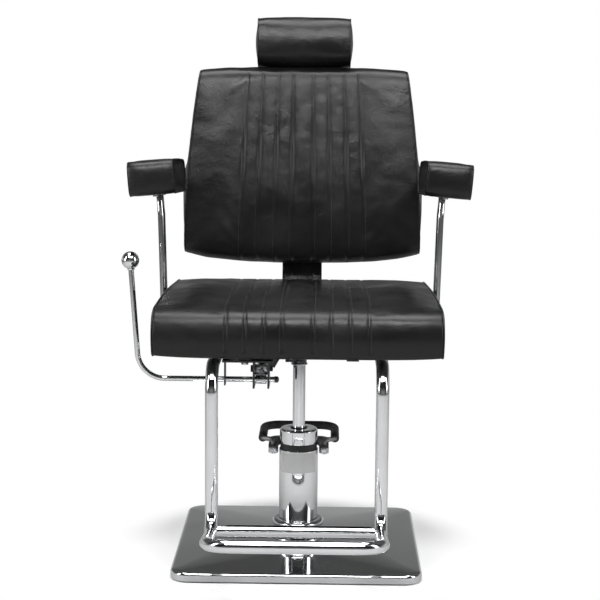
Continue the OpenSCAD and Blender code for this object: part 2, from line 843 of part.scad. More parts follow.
// Valve head screwed on the gas spring's front end
module gas_head() {
    color("silver") difference() {
        translate([gas_x - 12.9, lever_y + 12, gas_z - 9]) cube([25.8, 28, 18]);
        along_y(gas_x, lever_y, lever_y + 24, gas_z, 2.5 + run_fit);
        along_x(gas_x - 20, gas_x + 20, gas_bolt_y, gas_z, gas_bolt_r);
    }
}

// Cross bolt that holds the valve head between the bracket's plates
module gas_head_bolt() {
    color("silver") {
        along_x(plates_x[1] - 2, plates_x[2] + 8, gas_bolt_y, gas_z, gas_bolt_r);
        translate([plates_x[1] - 8, gas_bolt_y, gas_z]) rotate([0, 90, 0]) cylinder(r = 7.5, h = 6, $fn = 6);
    }
}

// Locking gas spring's cylinder
module gas_cylinder() {
    color("dimgray") difference() {
        along_y(gas_x, lever_y + 40, 100, gas_z, gas_r);
        along_y(gas_x, lever_y + 44, 98, gas_z, gas_r - 2);
        along_y(gas_x, 90, 101, gas_z, gas_rod_r + run_fit);
    }
}

// Rod of the gas spring, with its piston and its eye
module gas_rod() {
    color("silver") difference() {
        union() {
            along_y(gas_x, 62, gas_pin_y, gas_z, gas_rod_r);
            along_y(gas_x, 62, 70, gas_z, gas_r - 2 - run_fit);
            along_x(gas_x - 4.5, gas_x + 4.5, gas_pin_y, gas_z, 10);
        }
        along_x(gas_x - 6, gas_x + 6, gas_pin_y, gas_z, gas_pin_r + eye_slack);
    }
}

// ---- Backrest ----

// Flat bar up the back, two arms to the hinge tube, and the gas spring's clevis: one weldment
module back_bar() {
    pivot = [back_w(hinge_y, hinge_z), back_v(hinge_y, hinge_z)];
    half = rail_x - rail_w / 2 - 5.5;
    color("black") difference() {
        union() {
            at_back() {
                translate([-bar_w / 2, bar_face, pivot[1] - 14]) cube([bar_w, bar_t, bar_top - pivot[1] + 14]);
                for (x = [-38, 32]) translate([x, 0, 0]) rotate([90, 0, 90]) linear_extrude(6) {
                    translate(pivot) circle(r = 14);
                    polygon([[pivot[0], pivot[1] - 14], [bar_face + 1, pivot[1] - 14],
                             [bar_face + 1, pivot[1] + 40], [pivot[0] + 6, pivot[1] + 12.6]]);
                }
            }
            along_x(-half, half, hinge_y, hinge_z, knuckle_r);
            for (x = [gas_x - 9, gas_x + 5]) {
                along_x(x, x + 4, gas_pin_y, gas_pin_z, 9);
                translate([x, hinge_y, hinge_z]) rotate([lug_angle, 0, 0])
                    translate([0, -9, -lug_r]) cube([4, 18, lug_r]);
            }
        }
        along_x(-half - 1, half + 1, hinge_y, hinge_z, hinge_r + run_fit);
        along_x(gas_x - 10, gas_x + 10, gas_pin_y, gas_pin_z, gas_pin_r);
        at_back() for (x = [-28, 28], z = bar_bolts_z)
            translate([x, bar_face - 1, z]) rotate([-90, 0, 0]) cylinder(d = bolt_d, h = bar_t + 2);
    }
}

module gas_pin() {
    color("silver") {
        along_x(gas_x - 11, gas_x + 9, gas_pin_y, gas_pin_z, gas_pin_r);
        along_x(gas_x - 11, gas_x - 9, gas_pin_y, gas_pin_z, gas_pin_r + 2);
    }
}

// The backrest's outline, seen from the front: wider at the bottom, with a low middle
module back_outline(inset) {
    low = back_low_w / 2 - inset;
    top = back_top_w / 2 - inset;
    polygon([[-low + 40, inset], [low - 40, inset], [low, 22 + inset], [low - 4, back_h / 2],
             [top, back_h - inset], [-top, back_h - inset], [-low + 4, back_h / 2], [-low, 22 + inset]]);
}

// Plywood board that the bar is bolted to
module back_board() {
    color("burlywood") at_back() difference() {
        translate([0, back_half_t, 0]) rotate([90, 0, 0]) linear_extrude(board_t) back_outline(back_board_inset);
        for (x = [-28, 28], z = bar_bolts_z)
            translate([x, bar_face - board_t - 4, z]) rotate([-90, 0, 0]) cylinder(d = bolt_d, h = 20);
    }
}

// Upholstered panel over the board's back
module back_panel() {
    color("black") at_back() difference() {
        translate([0, bar_face, 0]) rotate([90, 0, 0]) linear_extrude(panel_t) back_outline(back_panel_inset);
        for (x = [-28, 28], z = bar_bolts_z)
            translate([x, bar_face - 6, z]) rotate([-90, 0, 0]) cylinder(d = bolt_d, h = 10);
    }
}

// Four hex bolts through the bar
module back_bolts() {
    color("silver") at_back() for (x = [-28, 28], z = bar_bolts_z)
        translate([x, bar_face + bar_t, z]) rotate([90, 0, 0]) hex_bolt(bar_t + panel_t + 10);
}

// Upholstered backrest round the board and the headrest's guide
module back_cushion() {
    r = 30;
    y = back_half_t - r;
    low = back_low_w / 2 - r;
    top = back_top_w / 2 - r;
    color("black") at_back() difference() {
        hull() {
            for (s = [-1, 1], p = [[low - 60, r - 8], [low, r + 22], [low - 5, back_h / 2], [top, back_h - r]]) {
                translate([s * p[0], -y, p[1]]) sphere(r = r, $fn = hull_fn);
                translate([s * p[0], back_half_t - 1, p[1]]) rotate([-90, 0, 0])
                    cylinder(r = r, h = 1, $fn = hull_fn);
            }
        }
        translate([0, back_half_t + 1, 0]) rotate([90, 0, 0]) linear_extrude(board_t + 1)
            back_outline(back_board_inset);
        translate([-post_w / 2 - guide_wall - 0.3, post_y - post_t / 2 - guide_wall - 0.3, guide_low])
            cube([post_w + 2 * guide_wall + 0.6, post_t + 2 * guide_wall + 0.6, back_h]);
    }
}

// Steel sleeve on the board's front that the headrest's post slides in
module headrest_guide() {
    wall = guide_wall;
    slack = 0.3;
    color("gray") at_back() difference() {
        translate([-post_w / 2 - wall - slack, post_y - post_t / 2 - wall - slack, guide_low])
            cube([post_w + 2 * (wall + slack), post_t + 2 * (wall + slack), back_h - guide_low - 6]);
        translate([-post_w / 2 - slack, post_y - post_t / 2 - slack, guide_low + 4])
            cube([post_w + 2 * slack, post_t + 2 * slack, back_h]);
    }
}

// ---- Headrest ----

// Flat steel post
module headrest_post() {
    color("silver") at_back()
        translate([-post_w / 2, post_y - post_t / 2, post_low])
            cube([post_w, post_t, head_low + head_h - 25 - post_low]);
}

// Upholstered headrest, foamed round the post's upper end
module headrest_cushion() {
    color("black") at_back() difference() {
        soft_block([-head_w / 2, head_y - head_t / 2, head_low],
                   [head_w / 2, head_y + head_t / 2, head_low + head_h], 25);
        translate([-post_w / 2, post_y - post_t / 2, head_low - 5]) cube([post_w, post_t, head_h - 20]);
    }
}

// ---- Assembly ----
base_mat();
ballast_plate();
base_cover();
pump_body();
pump_screws();
pump_sleeve();
pump_collar();
pump_plate();
seal_band();
pump_cap();
rod_bush();
wiper_ring();
valve_block();
pedal_pin();
pedal_yoke();
pedal_rod();
pedal_grip();
pedal_nuts();
pump_plunger();
ram();
piston();
thrust_bearing();
seat_hub();
swivel_screw();
seat_plate();
seat_rails();
frame_bolts();
seat_board();
seat_cushion();
footrest_tube();
footrest_crossbar();
footrest_clamps();
arm_post_left();
arm_post_right();
arm_plates();
arm_screws();
arm_cores();
arm_pad_left();
arm_pad_right();
lever_bracket();
hinge_ears();
hinge_pin();
gas_head();
gas_head_bolt();
gas_cylinder();
lever_rod();
lever_ball();
lever_cam();
lever_stud();
release_pin();
back_bar();
gas_pin();
back_board();
back_panel();
back_bolts();
back_cushion();
headrest_guide();
gas_rod();
headrest_post();
headrest_cushion();
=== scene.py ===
import json
import math

import bmesh
import bpy
from mathutils import Matrix, Vector, noise
from mathutils.bvhtree import BVHTree


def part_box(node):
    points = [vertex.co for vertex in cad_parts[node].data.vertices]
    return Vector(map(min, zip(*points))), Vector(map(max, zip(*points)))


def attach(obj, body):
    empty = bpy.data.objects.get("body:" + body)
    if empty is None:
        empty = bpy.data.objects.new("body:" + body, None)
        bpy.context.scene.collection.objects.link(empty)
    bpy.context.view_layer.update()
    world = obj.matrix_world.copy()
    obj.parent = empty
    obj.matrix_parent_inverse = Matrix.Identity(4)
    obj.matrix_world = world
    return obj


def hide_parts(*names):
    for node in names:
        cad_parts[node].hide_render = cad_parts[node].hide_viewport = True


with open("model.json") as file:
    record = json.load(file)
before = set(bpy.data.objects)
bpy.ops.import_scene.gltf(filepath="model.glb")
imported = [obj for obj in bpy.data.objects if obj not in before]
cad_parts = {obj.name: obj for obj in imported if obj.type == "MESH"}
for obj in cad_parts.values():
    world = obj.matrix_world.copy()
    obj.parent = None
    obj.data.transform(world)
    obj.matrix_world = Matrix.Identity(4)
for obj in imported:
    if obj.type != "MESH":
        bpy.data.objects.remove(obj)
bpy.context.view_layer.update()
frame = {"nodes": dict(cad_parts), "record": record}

NODES = frame["nodes"]
scene = bpy.context.scene

# ---- Studio ----
# A pale floor, a room of light and dark bands for the chrome to reflect, soft boxes overhead, over
# the floor in front and to both sides, and the camera a little to the right of the middle.
camera_data = bpy.data.cameras.new("camera")
camera_data.lens = 98.3
camera_data.sensor_width = 36
camera = bpy.data.objects.new("camera", camera_data)
camera.location = (0.053, -3.356, 1.032)
camera.rotation_euler = (math.radians(81.48), math.radians(-0.47), math.radians(0.97))
scene.collection.objects.link(camera)
scene.camera = camera
scene.view_settings.view_transform = "Standard"


def add_node(tree, kind, inputs=None, **settings):
    node = tree.nodes.new(kind)
    for key, value in settings.items():
        setattr(node, key, value)
    for key, value in (inputs or {}).items():
        if hasattr(value, "is_linked"):
            tree.links.new(value, node.inputs[key])
        else:
            node.inputs[key].default_value = value
    return node


def colour_ramp(tree, fac, stops):
    ramp = add_node(tree, "ShaderNodeValToRGB", {"Fac": fac})
    while len(ramp.color_ramp.elements) < len(stops):
        ramp.color_ramp.elements.new(0.5)
    for element, (place, grey) in zip(ramp.color_ramp.elements, stops):
        element.position = place
        element.color = (grey, grey, grey, 1) if isinstance(grey, (int, float)) else (*grey, 1)
    return ramp.outputs["Color"]


# Brightness of the room by height, then by depth; where the floor's shadow fades, in metres; and
# how grey the floor is to everything but the camera.
FLOOR_TO_CEILING = [(0.0, 0.3), (0.48, 0.6), (0.57, 0.5), (0.68, 0.08), (1.0, 0.12)]
FRONT_TO_BACK = [(0.0, 0.35), (0.06, 0.3), (0.13, 0.12), (0.26, 0.12), (0.32, 1.9), (0.42, 1.9), (0.5, 0.3),
                 (0.75, 1.1), (1.0, 0.8)]
SHADOW_FADES = (0.3, 0.42)
FLOOR_TO_CHROME = (0.42, 0.42, 0.42, 1)


def room_light():
    """A dim wall in front of the chair, bright walls to its sides and a white surround to the eye."""
    world = bpy.data.worlds.new("room")
    world.use_nodes = True
    tree = world.node_tree
    tree.nodes.clear()
    direction = add_node(tree, "ShaderNodeTexCoord").outputs["Generated"]
    parts = add_node(tree, "ShaderNodeSeparateXYZ", {"Vector": direction})
    height = add_node(tree, "ShaderNodeMath", {0: parts.outputs["Z"], 1: 0.5, 2: 0.5}, operation="MULTIPLY_ADD")
    depth = add_node(tree, "ShaderNodeMath", {0: parts.outputs["Y"], 1: 0.5, 2: 0.5}, operation="MULTIPLY_ADD")
    up_down = colour_ramp(tree, height.outputs[0], FLOOR_TO_CEILING)
    front_back = colour_ramp(tree, depth.outputs[0], FRONT_TO_BACK)
    room = add_node(tree, "ShaderNodeMix", {0: 1.0, 6: up_down, 7: front_back}, data_type="RGBA",
                    blend_type="MULTIPLY")
    seen = add_node(tree, "ShaderNodeLightPath").outputs["Is Camera Ray"]
    shown = add_node(tree, "ShaderNodeMix", {0: seen, 6: room.outputs[2], 7: (1, 1, 1, 1)},
                     data_type="RGBA")
    light = add_node(tree, "ShaderNodeBackground", {"Color": shown.outputs[2], "Strength": 1.0})
    add_node(tree, "ShaderNodeOutputWorld", {"Surface": light.outputs[0]})
    scene.world = world


def soft_box(name, place, target, size, power):
    data = bpy.data.lights.new(name, "AREA")
    data.shape = "RECTANGLE"
    data.size, data.size_y = size
    data.energy = power
    light = bpy.data.objects.new(name, data)
    light.location = place
    light.rotation_euler = (Vector(target) - Vector(place)).to_track_quat("-Z", "Y").to_euler()
    scene.collection.objects.link(light)


def floor_material():
    material = bpy.data.materials.new("studio_floor")
    material.use_nodes = True
    tree = material.node_tree
    place = add_node(tree, "ShaderNodeTexCoord").outputs["Object"]
    speckle = add_node(tree, "ShaderNodeTexNoise", {"Vector": place, "Scale": 3.0, "Detail": 3.0})
    seen = add_node(tree, "ShaderNodeLightPath").outputs["Is Camera Ray"]
    pale = colour_ramp(tree, speckle.outputs["Fac"], [(0.3, 0.93), (0.7, 0.96)])
    tone = add_node(tree, "ShaderNodeMix", {0: seen, 6: FLOOR_TO_CHROME, 7: pale}, data_type="RGBA")
    shader = tree.nodes["Principled BSDF"]
    tree.links.new(tone.outputs[2], shader.inputs["Base Color"])
    shader.inputs["Roughness"].default_value = 0.75
    away = add_node(tree, "ShaderNodeVectorMath", {0: place}, operation="LENGTH")
    faded = add_node(tree, "ShaderNodeMapRange", {"Value": away.outputs["Value"], "From Min": SHADOW_FADES[0],
                                                  "From Max": SHADOW_FADES[1]},
                     interpolation_type="SMOOTHSTEP")
    share = add_node(tree, "ShaderNodeMath", {0: faded.outputs["Result"], 1: seen}, operation="MULTIPLY")
    bright = add_node(tree, "ShaderNodeEmission", {"Color": (1, 1, 1, 1)})
    both = add_node(tree, "ShaderNodeMixShader", {0: share.outputs[0], 1: shader.outputs[0],
                                                  2: bright.outputs[0]})
    tree.links.new(both.outputs[0], tree.nodes["Material Output"].inputs["Surface"])
    return material


def studio_floor():
    mesh = bpy.data.meshes.new("studio_floor")
    reach = 9.0
    corners = [(-reach, -reach, 0), (reach, -reach, 0), (reach, reach, 0), (-reach, reach, 0)]
    mesh.from_pydata(corners, [], [(0, 1, 2, 3)])
    mesh.materials.append(floor_material())
    floor = bpy.data.objects.new("studio_floor", mesh)
    scene.collection.objects.link(floor)


room_light()
studio_floor()
soft_box("overhead_box", (0, 0.2, 3.2), (0, 0.1, 0.0), (2.6, 1.6), 80)
soft_box("floor_pool", (0, -2.0, 2.8), (0, -1.8, 0.0), (2.6, 1.0), 110)
soft_box("left_box", (-2.6, -1.2, 1.6), (0, 0, 0.6), (0.5, 2.0), 25)
soft_box("right_box", (2.6, -1.0, 1.6), (0, 0, 0.6), (0.5, 2.0), 21)


# ---- Shared making ----
# What a piece belongs to, the finishes, and the ways of making a skin that the sections share:
# turned, bent and swept, or cut from the exact solid with its edges broken.
mm = 0.001
BODY_OF = {}
for body_name, members in frame["record"]["behaviour"]["bodies"].items():
    for member in members:
        BODY_OF[member] = body_name


def place_piece(name, mesh, material, *nodes, sharp=40):
    """Makes a piece that stands for the CAD nodes: same body, and the nodes it stands for are hidden."""
    mesh.materials.clear()
    mesh.materials.append(material)
    mesh.shade_smooth()
    mesh.set_sharp_from_angle(angle=math.radians(sharp))
    piece = bpy.data.objects.new(name, mesh)
    scene.collection.objects.link(piece)
    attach(piece, BODY_OF[nodes[0]])
    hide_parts(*nodes)
    return piece


def mesh_from_rings(name, rings, closed=False, cap=True):
    """Joins rings of the same number of points into a skin, with its faces outward."""
    count = len(rings[0])
    faces = []
    for k in range(len(rings) if closed else len(rings) - 1):
        low = k * count
        high = ((k + 1) % len(rings)) * count
        for i in range(count):
            j = (i + 1) % count
            faces.append((low + i, low + j, high + j, high + i))
    if cap and not closed:
        faces.append(tuple(reversed(range(count))))
        faces.append(tuple(range((len(rings) - 1) * count, len(rings) * count)))
    mesh = bpy.data.meshes.new(name)
    mesh.from_pydata([tuple(point) for ring in rings for point in ring], [], faces)
    face_outward(mesh)
    return mesh


def face_outward(mesh, merge=1e-6):
    work = bmesh.new()
    work.from_mesh(mesh)
    bmesh.ops.remove_doubles(work, verts=work.verts, dist=merge)
    bmesh.ops.recalc_face_normals(work, faces=work.faces)
    if work.calc_volume(signed=True) < 0:
        bmesh.ops.reverse_faces(work, faces=work.faces)
    work.to_mesh(mesh)
    work.free()


def group_of(name, inputs, outputs):
    tree = bpy.data.node_groups.new(name, "ShaderNodeTree")
    for label, default in inputs.items():
        kind = "NodeSocketColor" if isinstance(default, tuple) else "NodeSocketFloat"
        socket = tree.interface.new_socket(label, in_out="INPUT", socket_type=kind)
        socket.default_value = default
    for label, kind in outputs.items():
        tree.interface.new_socket(label, in_out="OUTPUT", socket_type=kind)
    return tree, add_node(tree, "NodeGroupInput"), add_node(tree, "NodeGroupOutput")


def use_group(tree, group, **values):
    node = add_node(tree, "ShaderNodeGroup", node_tree=group)
    for label, value in values.items():
        node.inputs[label.replace("_", " ").capitalize()].default_value = value
    return node


def make_wear_group():
    """Faint wipe marks, dull patches and fine dust for hard surfaces."""
    tree, given, made = group_of("surface_wear", {"Scale": 30.0, "Smoothest": 0.05, "Roughest": 0.2},
                                 {"Roughness": "NodeSocketFloat", "Height": "NodeSocketFloat",
                                  "Dust": "NodeSocketFloat"})
    place = add_node(tree, "ShaderNodeTexCoord").outputs["Object"]
    patches = add_node(tree, "ShaderNodeTexNoise", {"Vector": place, "Scale": given.outputs["Scale"],
                                                    "Detail": 4.0, "Roughness": 0.65})
    wiped = add_node(tree, "ShaderNodeMapping", {"Vector": place, "Scale": (9.0, 9.0, 70.0)})
    lines = add_node(tree, "ShaderNodeTexNoise", {"Vector": wiped.outputs[0],
                                                  "Scale": given.outputs["Scale"],
                                                  "Detail": 2.0})
    both = add_node(tree, "ShaderNodeMath", {0: patches.outputs["Fac"], 1: lines.outputs["Fac"]},
                    operation="MULTIPLY")
    spread = add_node(tree, "ShaderNodeMapRange", {"Value": both.outputs[0], "From Min": 0.12,
                                                   "From Max": 0.42,
                                                   "To Min": given.outputs["Smoothest"],
                                                   "To Max": given.outputs["Roughest"]})
    specks = add_node(tree, "ShaderNodeTexNoise", {"Vector": place, "Scale": 900.0, "Detail": 1.0})
    dust = add_node(tree, "ShaderNodeMapRange", {"Value": specks.outputs["Fac"], "From Min": 0.66,
                                                 "From Max": 0.8})
    tree.links.new(spread.outputs["Result"], made.inputs["Roughness"])
    tree.links.new(lines.outputs["Fac"], made.inputs["Height"])
    tree.links.new(dust.outputs["Result"], made.inputs["Dust"])
    return tree


SURFACE_WEAR = make_wear_group()


def hard_material(name, colour, metallic, smoothest, roughest, scale=30.0, bump=0.02, tone=0.12, coat=0.0):
    """A hard finish: its colour shifts a little, and wear changes its gloss."""
    material = bpy.data.materials.new(name)
    material.use_nodes = True
    tree = material.node_tree
    shader = tree.nodes["Principled BSDF"]
    shader.inputs["Metallic"].default_value = metallic
    shader.inputs["Coat Weight"].default_value = coat
    wear = use_group(tree, SURFACE_WEAR, scale=scale, smoothest=smoothest, roughest=roughest)
    place = add_node(tree, "ShaderNodeTexCoord").outputs["Object"]
    cloud = add_node(tree, "ShaderNodeTexNoise", {"Vector": place, "Scale": scale * 0.4, "Detail": 3.0})
    darker = tuple(c * (1 - tone) for c in colour)
    lighter = tuple(min(1.0, c * (1 + tone)) for c in colour)
    base = colour_ramp(tree, cloud.outputs["Fac"], [(0.35, darker), (0.65, lighter)])
    dusted = add_node(tree, "ShaderNodeMix", {0: wear.outputs["Dust"], 6: base, 7: (*lighter, 1)},
                      data_type="RGBA")
    tree.links.new(dusted.outputs[2], shader.inputs["Base Color"])
    tree.links.new(wear.outputs["Roughness"], shader.inputs["Roughness"])
    relief = add_node(tree, "ShaderNodeBump", {"Height": wear.outputs["Height"], "Strength": bump,
                                               "Distance": 0.001})
    tree.links.new(relief.outputs[0], shader.inputs["Normal"])
    return material


CHROME = hard_material("chrome", (0.80, 0.81, 0.82), 1.0, 0.035, 0.12, tone=0.03, bump=0.01)
RUBBER = hard_material("black_rubber", (0.018, 0.018, 0.018), 0.0, 0.45, 0.7, scale=60, bump=0.3, tone=0.3)
MILL_STEEL = hard_material("mill_steel", (0.09, 0.09, 0.095), 0.8, 0.4, 0.65, scale=18, bump=0.3, tone=0.3)


def refine(node, material, bevel=0.0005, angle=32):
    """A clean copy of a CAD node: merged, with its edges broken as a file or a tumbler does."""
    mesh = NODES[node].data.copy()
    work = bmesh.new()
    work.from_mesh(mesh)
    bmesh.ops.remove_doubles(work, verts=work.verts, dist=1e-5)
    bmesh.ops.dissolve_limit(work, angle_limit=math.radians(0.5), verts=work.verts, edges=work.edges)
    work.to_mesh(mesh)
    work.free()
    rough = bpy.data.objects.new("rough_" + node, mesh)
    scene.collection.objects.link(rough)
    if bevel:
        broken = rough.modifiers.new("broken_edge", "BEVEL")
        broken.width = bevel
        broken.segments = 2
        broken.angle_limit = math.radians(angle)
    ready = rough.evaluated_get(bpy.context.evaluated_depsgraph_get())
    final = bpy.data.meshes.new_from_object(ready)
    final.name = node + "_finished"
    bpy.data.objects.remove(rough)
    return place_piece(node + "_finished", final, material, node, sharp=angle)


def place_extra(name, mesh, material, node):
    """A piece that adds to a CAD node without standing for it."""
    mesh.materials.append(material)
    mesh.shade_smooth()
    extra = bpy.data.objects.new(name, mesh)
    scene.collection.objects.link(extra)
    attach(extra, BODY_OF[node])


def lathe(name, outline, steps=96):
    """Turns an outline of radius and height, in millimetres, about the pump's axis."""
    rings = []
    for r, z in outline:
        rings.append([(r * mm * math.cos(2 * math.pi * k / steps),
                       r * mm * math.sin(2 * math.pi * k / steps),
                       z * mm) for k in range(steps)])
    on_axis = outline[0][0] == 0
    return mesh_from_rings(name, rings, closed=not on_axis, cap=False)


def softened(outline, radius=0.6, steps=4):
    """Rounds every corner of a closed outline."""
    count = len(outline)
    result = []
    for i in range(count):
        before, here, after = (Vector(outline[(i + k) % count]) for k in (-1, 0, 1))
        if here.x == 0:
            result.append(tuple(here))
            continue
        back = before - here
        ahead = after - here
        reach = min(radius, back.length * 0.45, ahead.length * 0.45)
        start = here + back.normalized() * reach
        end = here + ahead.normalized() * reach
        for k in range(steps + 1):
            t = k / steps
            result.append(tuple((1 - t) ** 2 * start + 2 * t * (1 - t) * here + t ** 2 * end))
    return result


def turned_piece(node, outline, material, radius=0.6, sharp=60):
    mesh = lathe(node + "_turned", softened(outline, radius))
    return place_piece(node + "_turned", mesh, material, node, sharp=sharp)


def turned_along(name, origin, direction, outline, steps=64):
    """Turns an outline of radius and distance about a line, in millimetres."""
    turn = Vector((0, 0, 1)).rotation_difference(Vector(direction)).to_matrix().to_4x4()
    mesh = lathe(name, outline, steps)
    mesh.transform(Matrix.Translation(origin) @ turn)
    face_outward(mesh)
    return mesh


def span_of(node):
    """A round node's radius and its lowest and highest points, in millimetres."""
    low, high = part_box(node)
    return (high[0] - low[0]) / 2 / mm, low[2] / mm, high[2] / mm


def bent_line(points, bends, step=0.004, arc_step=math.radians(4)):
    """Points along a bar with straight stretches and round bends, all in metres."""
    points = [Vector(p) for p in points]
    line = [points[0]]
    for i in range(1, len(points) - 1):
        before = (points[i] - points[i - 1]).normalized()
        after = (points[i + 1] - points[i]).normalized()
        angle = before.angle(after)
        r = bends[i - 1]
        start = points[i] - before * r * math.tan(angle / 2)
        centre = points[i] + (after - before).normalized() * r / math.cos(angle / 2)
        spoke = start - centre
        axis = before.cross(after).normalized()
        count = max(2, math.ceil(angle / arc_step))
        for k in range(count + 1):
            line.append(centre + Matrix.Rotation(angle * k / count, 3, axis) @ spoke)
    line.append(points[-1])
    filled = [line[0]]
    for here in line[1:]:
        parts = max(1, round((here - filled[-1]).length / (step * 8)))
        start = filled[-1]
        filled += [start.lerp(here, k / parts) for k in range(1, parts + 1)]
    return filled


def mirrored_route(half):
    """The left half of a route, then its mirror image."""
    return half + [(-x, y, z) for x, y, z in reversed(half)]


def swept(name, line, section, end_round=0.0, closed=False, up=None):
    """A skin of the section, given as offsets, along the line, with its two ends broken."""
    count = len(line)
    tangents = []
    for i in range(count):
        ahead = line[(i + 1) % count] if closed or i + 1 < count else line[i]
        back = line[i - 1] if closed or i > 0 else line[i]
        tangents.append((ahead - back).normalized())
    side = (Vector(up) if up else tangents[0].orthogonal()).normalized()
    rings = []
    for i in range(count):
        if i:
            side = tangents[i - 1].rotation_difference(tangents[i]) @ side
        side = (side - tangents[i] * side.dot(tangents[i])).normalized()
        across = tangents[i].cross(side)
        rings.append([line[i] + across * a + side * b for a, b in section])
    if end_round and not closed:
        for end, inner in ((0, 1), (-1, -2)):
            middle = line[end]
            outward = -tangents[0] if end == 0 else tangents[-1]
            scale = 1 - end_round / max(Vector(s).length for s in section)
            cap_ring = [middle + (point - middle) * scale for point in rings[end]]
            shoulder = [point - outward * end_round for point in rings[end]]
            rings[end:end + 1 or None] = [cap_ring, shoulder] if end == 0 else [shoulder, cap_ring]
    return mesh_from_rings(name, rings, closed=closed)


def round_section(radius, sides=32):
    return [(radius * math.cos(2 * math.pi * k / sides), radius * math.sin(2 * math.pi * k / sides))
            for k in range(sides)]


# ---- Base ----
# A steel ballast plate under a pressed and chromed cover with a rolled rim and a low crown,
# standing on a rubber mat. The cover has a round hole for the pump's foot.
def square_ring(half, corner, z, steps=14):
    """A ring round a square with round corners, corner by corner."""
    ring = []
    for quarter in range(4):
        middle = Vector((half - corner, half - corner, 0))
        for k in range(steps + 1):
            a = math.pi / 2 * k / steps
            point = middle + corner * Vector((math.cos(a), math.sin(a), 0))
            point.rotate(Matrix.Rotation(math.pi / 2 * quarter, 3, "Z"))
            ring.append((point.x, point.y, z))
    return ring


def base_cover_mesh():
    (x0, _, z_low), (_, _, z_top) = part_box("base_cover")
    half = -x0
    corner, edge, rim_z, hole, wall = 0.038, 0.006, 0.020, 0.0490, 0.002
    path = [(0.0, z_low), (0.0, rim_z - edge)]
    path += [(edge * (1 - math.cos(a)), rim_z - edge * (1 - math.sin(a)))
             for a in (math.pi / 2 * k / 8 for k in range(1, 9))]
    crown = 26
    path += [(edge + (half - hole - edge) * k / crown,
              rim_z + (z_top - rim_z) * math.sin(math.pi / 2 * k / crown))
             for k in range(1, crown + 1)]

    def ring(inset, z, drop=0.0):
        share = max(0.0, (inset - edge) / (half - hole - edge))
        size = half - max(inset, drop)
        r = (1 - share) * max(corner - max(inset, drop), 0.004) + share * size
        return square_ring(size, min(r, size), z)

    outside = [ring(inset, z) for inset, z in path]
    inside = [ring(inset, max(z - wall, z_low), drop=wall) for inset, z in reversed(path)]
    return mesh_from_rings("base_cover_skin", outside + inside, closed=True)


place_piece("base_cover_skin", base_cover_mesh(), CHROME, "base_cover", sharp=50)


refine("base_mat", RUBBER, bevel=0.0008)
refine("ballast_plate", MILL_STEEL, bevel=0.0008)


# ---- Pump ----
# A cast body inside a polished sleeve with a flared collar at its foot, a black rubber band and a
#  turned cap with a chamfer. The band's black is partly the rubber's own colour and partly painted shade for
#  the shadowed gap under the cap. The ram leaves the cap through a bush and a wiper ring.
CAST_IRON = hard_material("cast_iron", (0.10, 0.10, 0.105), 0.6, 0.5, 0.75, scale=120, bump=0.6, tone=0.25)
ZINC_STEEL = hard_material("zinc_steel", (0.56, 0.57, 0.59), 1.0, 0.18, 0.36, scale=80, bump=0.05)
BRONZE = hard_material("bronze", (0.56, 0.38, 0.17), 1.0, 0.2, 0.35, scale=60, bump=0.05)
BLANK_FILM = hard_material("blank_film", (0.62, 0.62, 0.62), 0.25, 0.3, 0.45, scale=25, bump=0.03,
                           tone=0.04)


sleeve_r, sleeve_low, sleeve_high = span_of("pump_sleeve")
cap_r, cap_low, cap_high = span_of("pump_cap")
collar_r, collar_low, collar_high = span_of("pump_collar")
ram_r, ram_low, ram_high = span_of("ram")
cap_bore_r = 30
spindle_r = 10
spindle_low = 394
turned_piece("pump_sleeve", [(sleeve_r, sleeve_low), (sleeve_r, sleeve_high), (sleeve_r - 2, sleeve_high),
                             (sleeve_r - 2, sleeve_low)], CHROME, 0.5)
turned_piece("pump_collar", [
    (sleeve_r, collar_low), (collar_r, collar_low), (collar_r, collar_low + 4),
    (collar_r - 6, collar_low + 9),
    (collar_r - 9, collar_low + 16), (collar_r - 9, collar_low + 24), (collar_r - 3.4, collar_low + 30),
    (collar_r - 3.4, collar_high - 4), (collar_r - 7, collar_high), (sleeve_r, collar_high)], CHROME, 1.6)
# The black rubber fills the gap between sleeve and cap; its black is partly painted shade for that shadowed
# gap.
turned_piece("seal_band", [(sleeve_r - 2.3, sleeve_high), (sleeve_r - 2, sleeve_high + 7),
                           (sleeve_r - 2.3, cap_low),
                           (cap_bore_r, cap_low), (cap_bore_r, sleeve_high)], RUBBER, 0.5)
turned_piece("pump_cap", [
    (cap_bore_r, cap_low), (cap_r, cap_low), (cap_r, cap_high - 3), (cap_r - 3, cap_high),
    (ram_r + 7, cap_high),
    (ram_r + 6, cap_high - 1.2), (ram_r + 4, cap_high - 1.2), (ram_r + 4, cap_low + 7),
    (cap_bore_r, cap_low + 7)],
    CHROME, 0.7)
turned_piece("wiper_ring", [(ram_r + 0.3, cap_high - 4), (ram_r + 4, cap_high - 4),
                            (ram_r + 3.6, cap_high + 0.4),
                            (ram_r + 1.2, cap_high + 1.5), (ram_r + 0.3, cap_high + 1.4)], RUBBER, 0.3)
turned_piece("ram", [(0, ram_low), (ram_r - 1, ram_low), (ram_r, ram_low + 1), (ram_r, spindle_low - 1),
                     (ram_r - 1, spindle_low), (spindle_r, spindle_low), (spindle_r, ram_high - 1),
                     (spindle_r - 1, ram_high), (0, ram_high)], CHROME, 0.3)
for node, material in (("pump_body", CAST_IRON), ("valve_block", CAST_IRON), ("piston", CAST_IRON),
                       ("pump_screws", ZINC_STEEL), ("pedal_pin", ZINC_STEEL), ("pump_plunger", ZINC_STEEL),
                       ("thrust_bearing", ZINC_STEEL), ("rod_bush", BRONZE)):
    refine(node, material)
refine("pump_plate", BLANK_FILM, bevel=0)


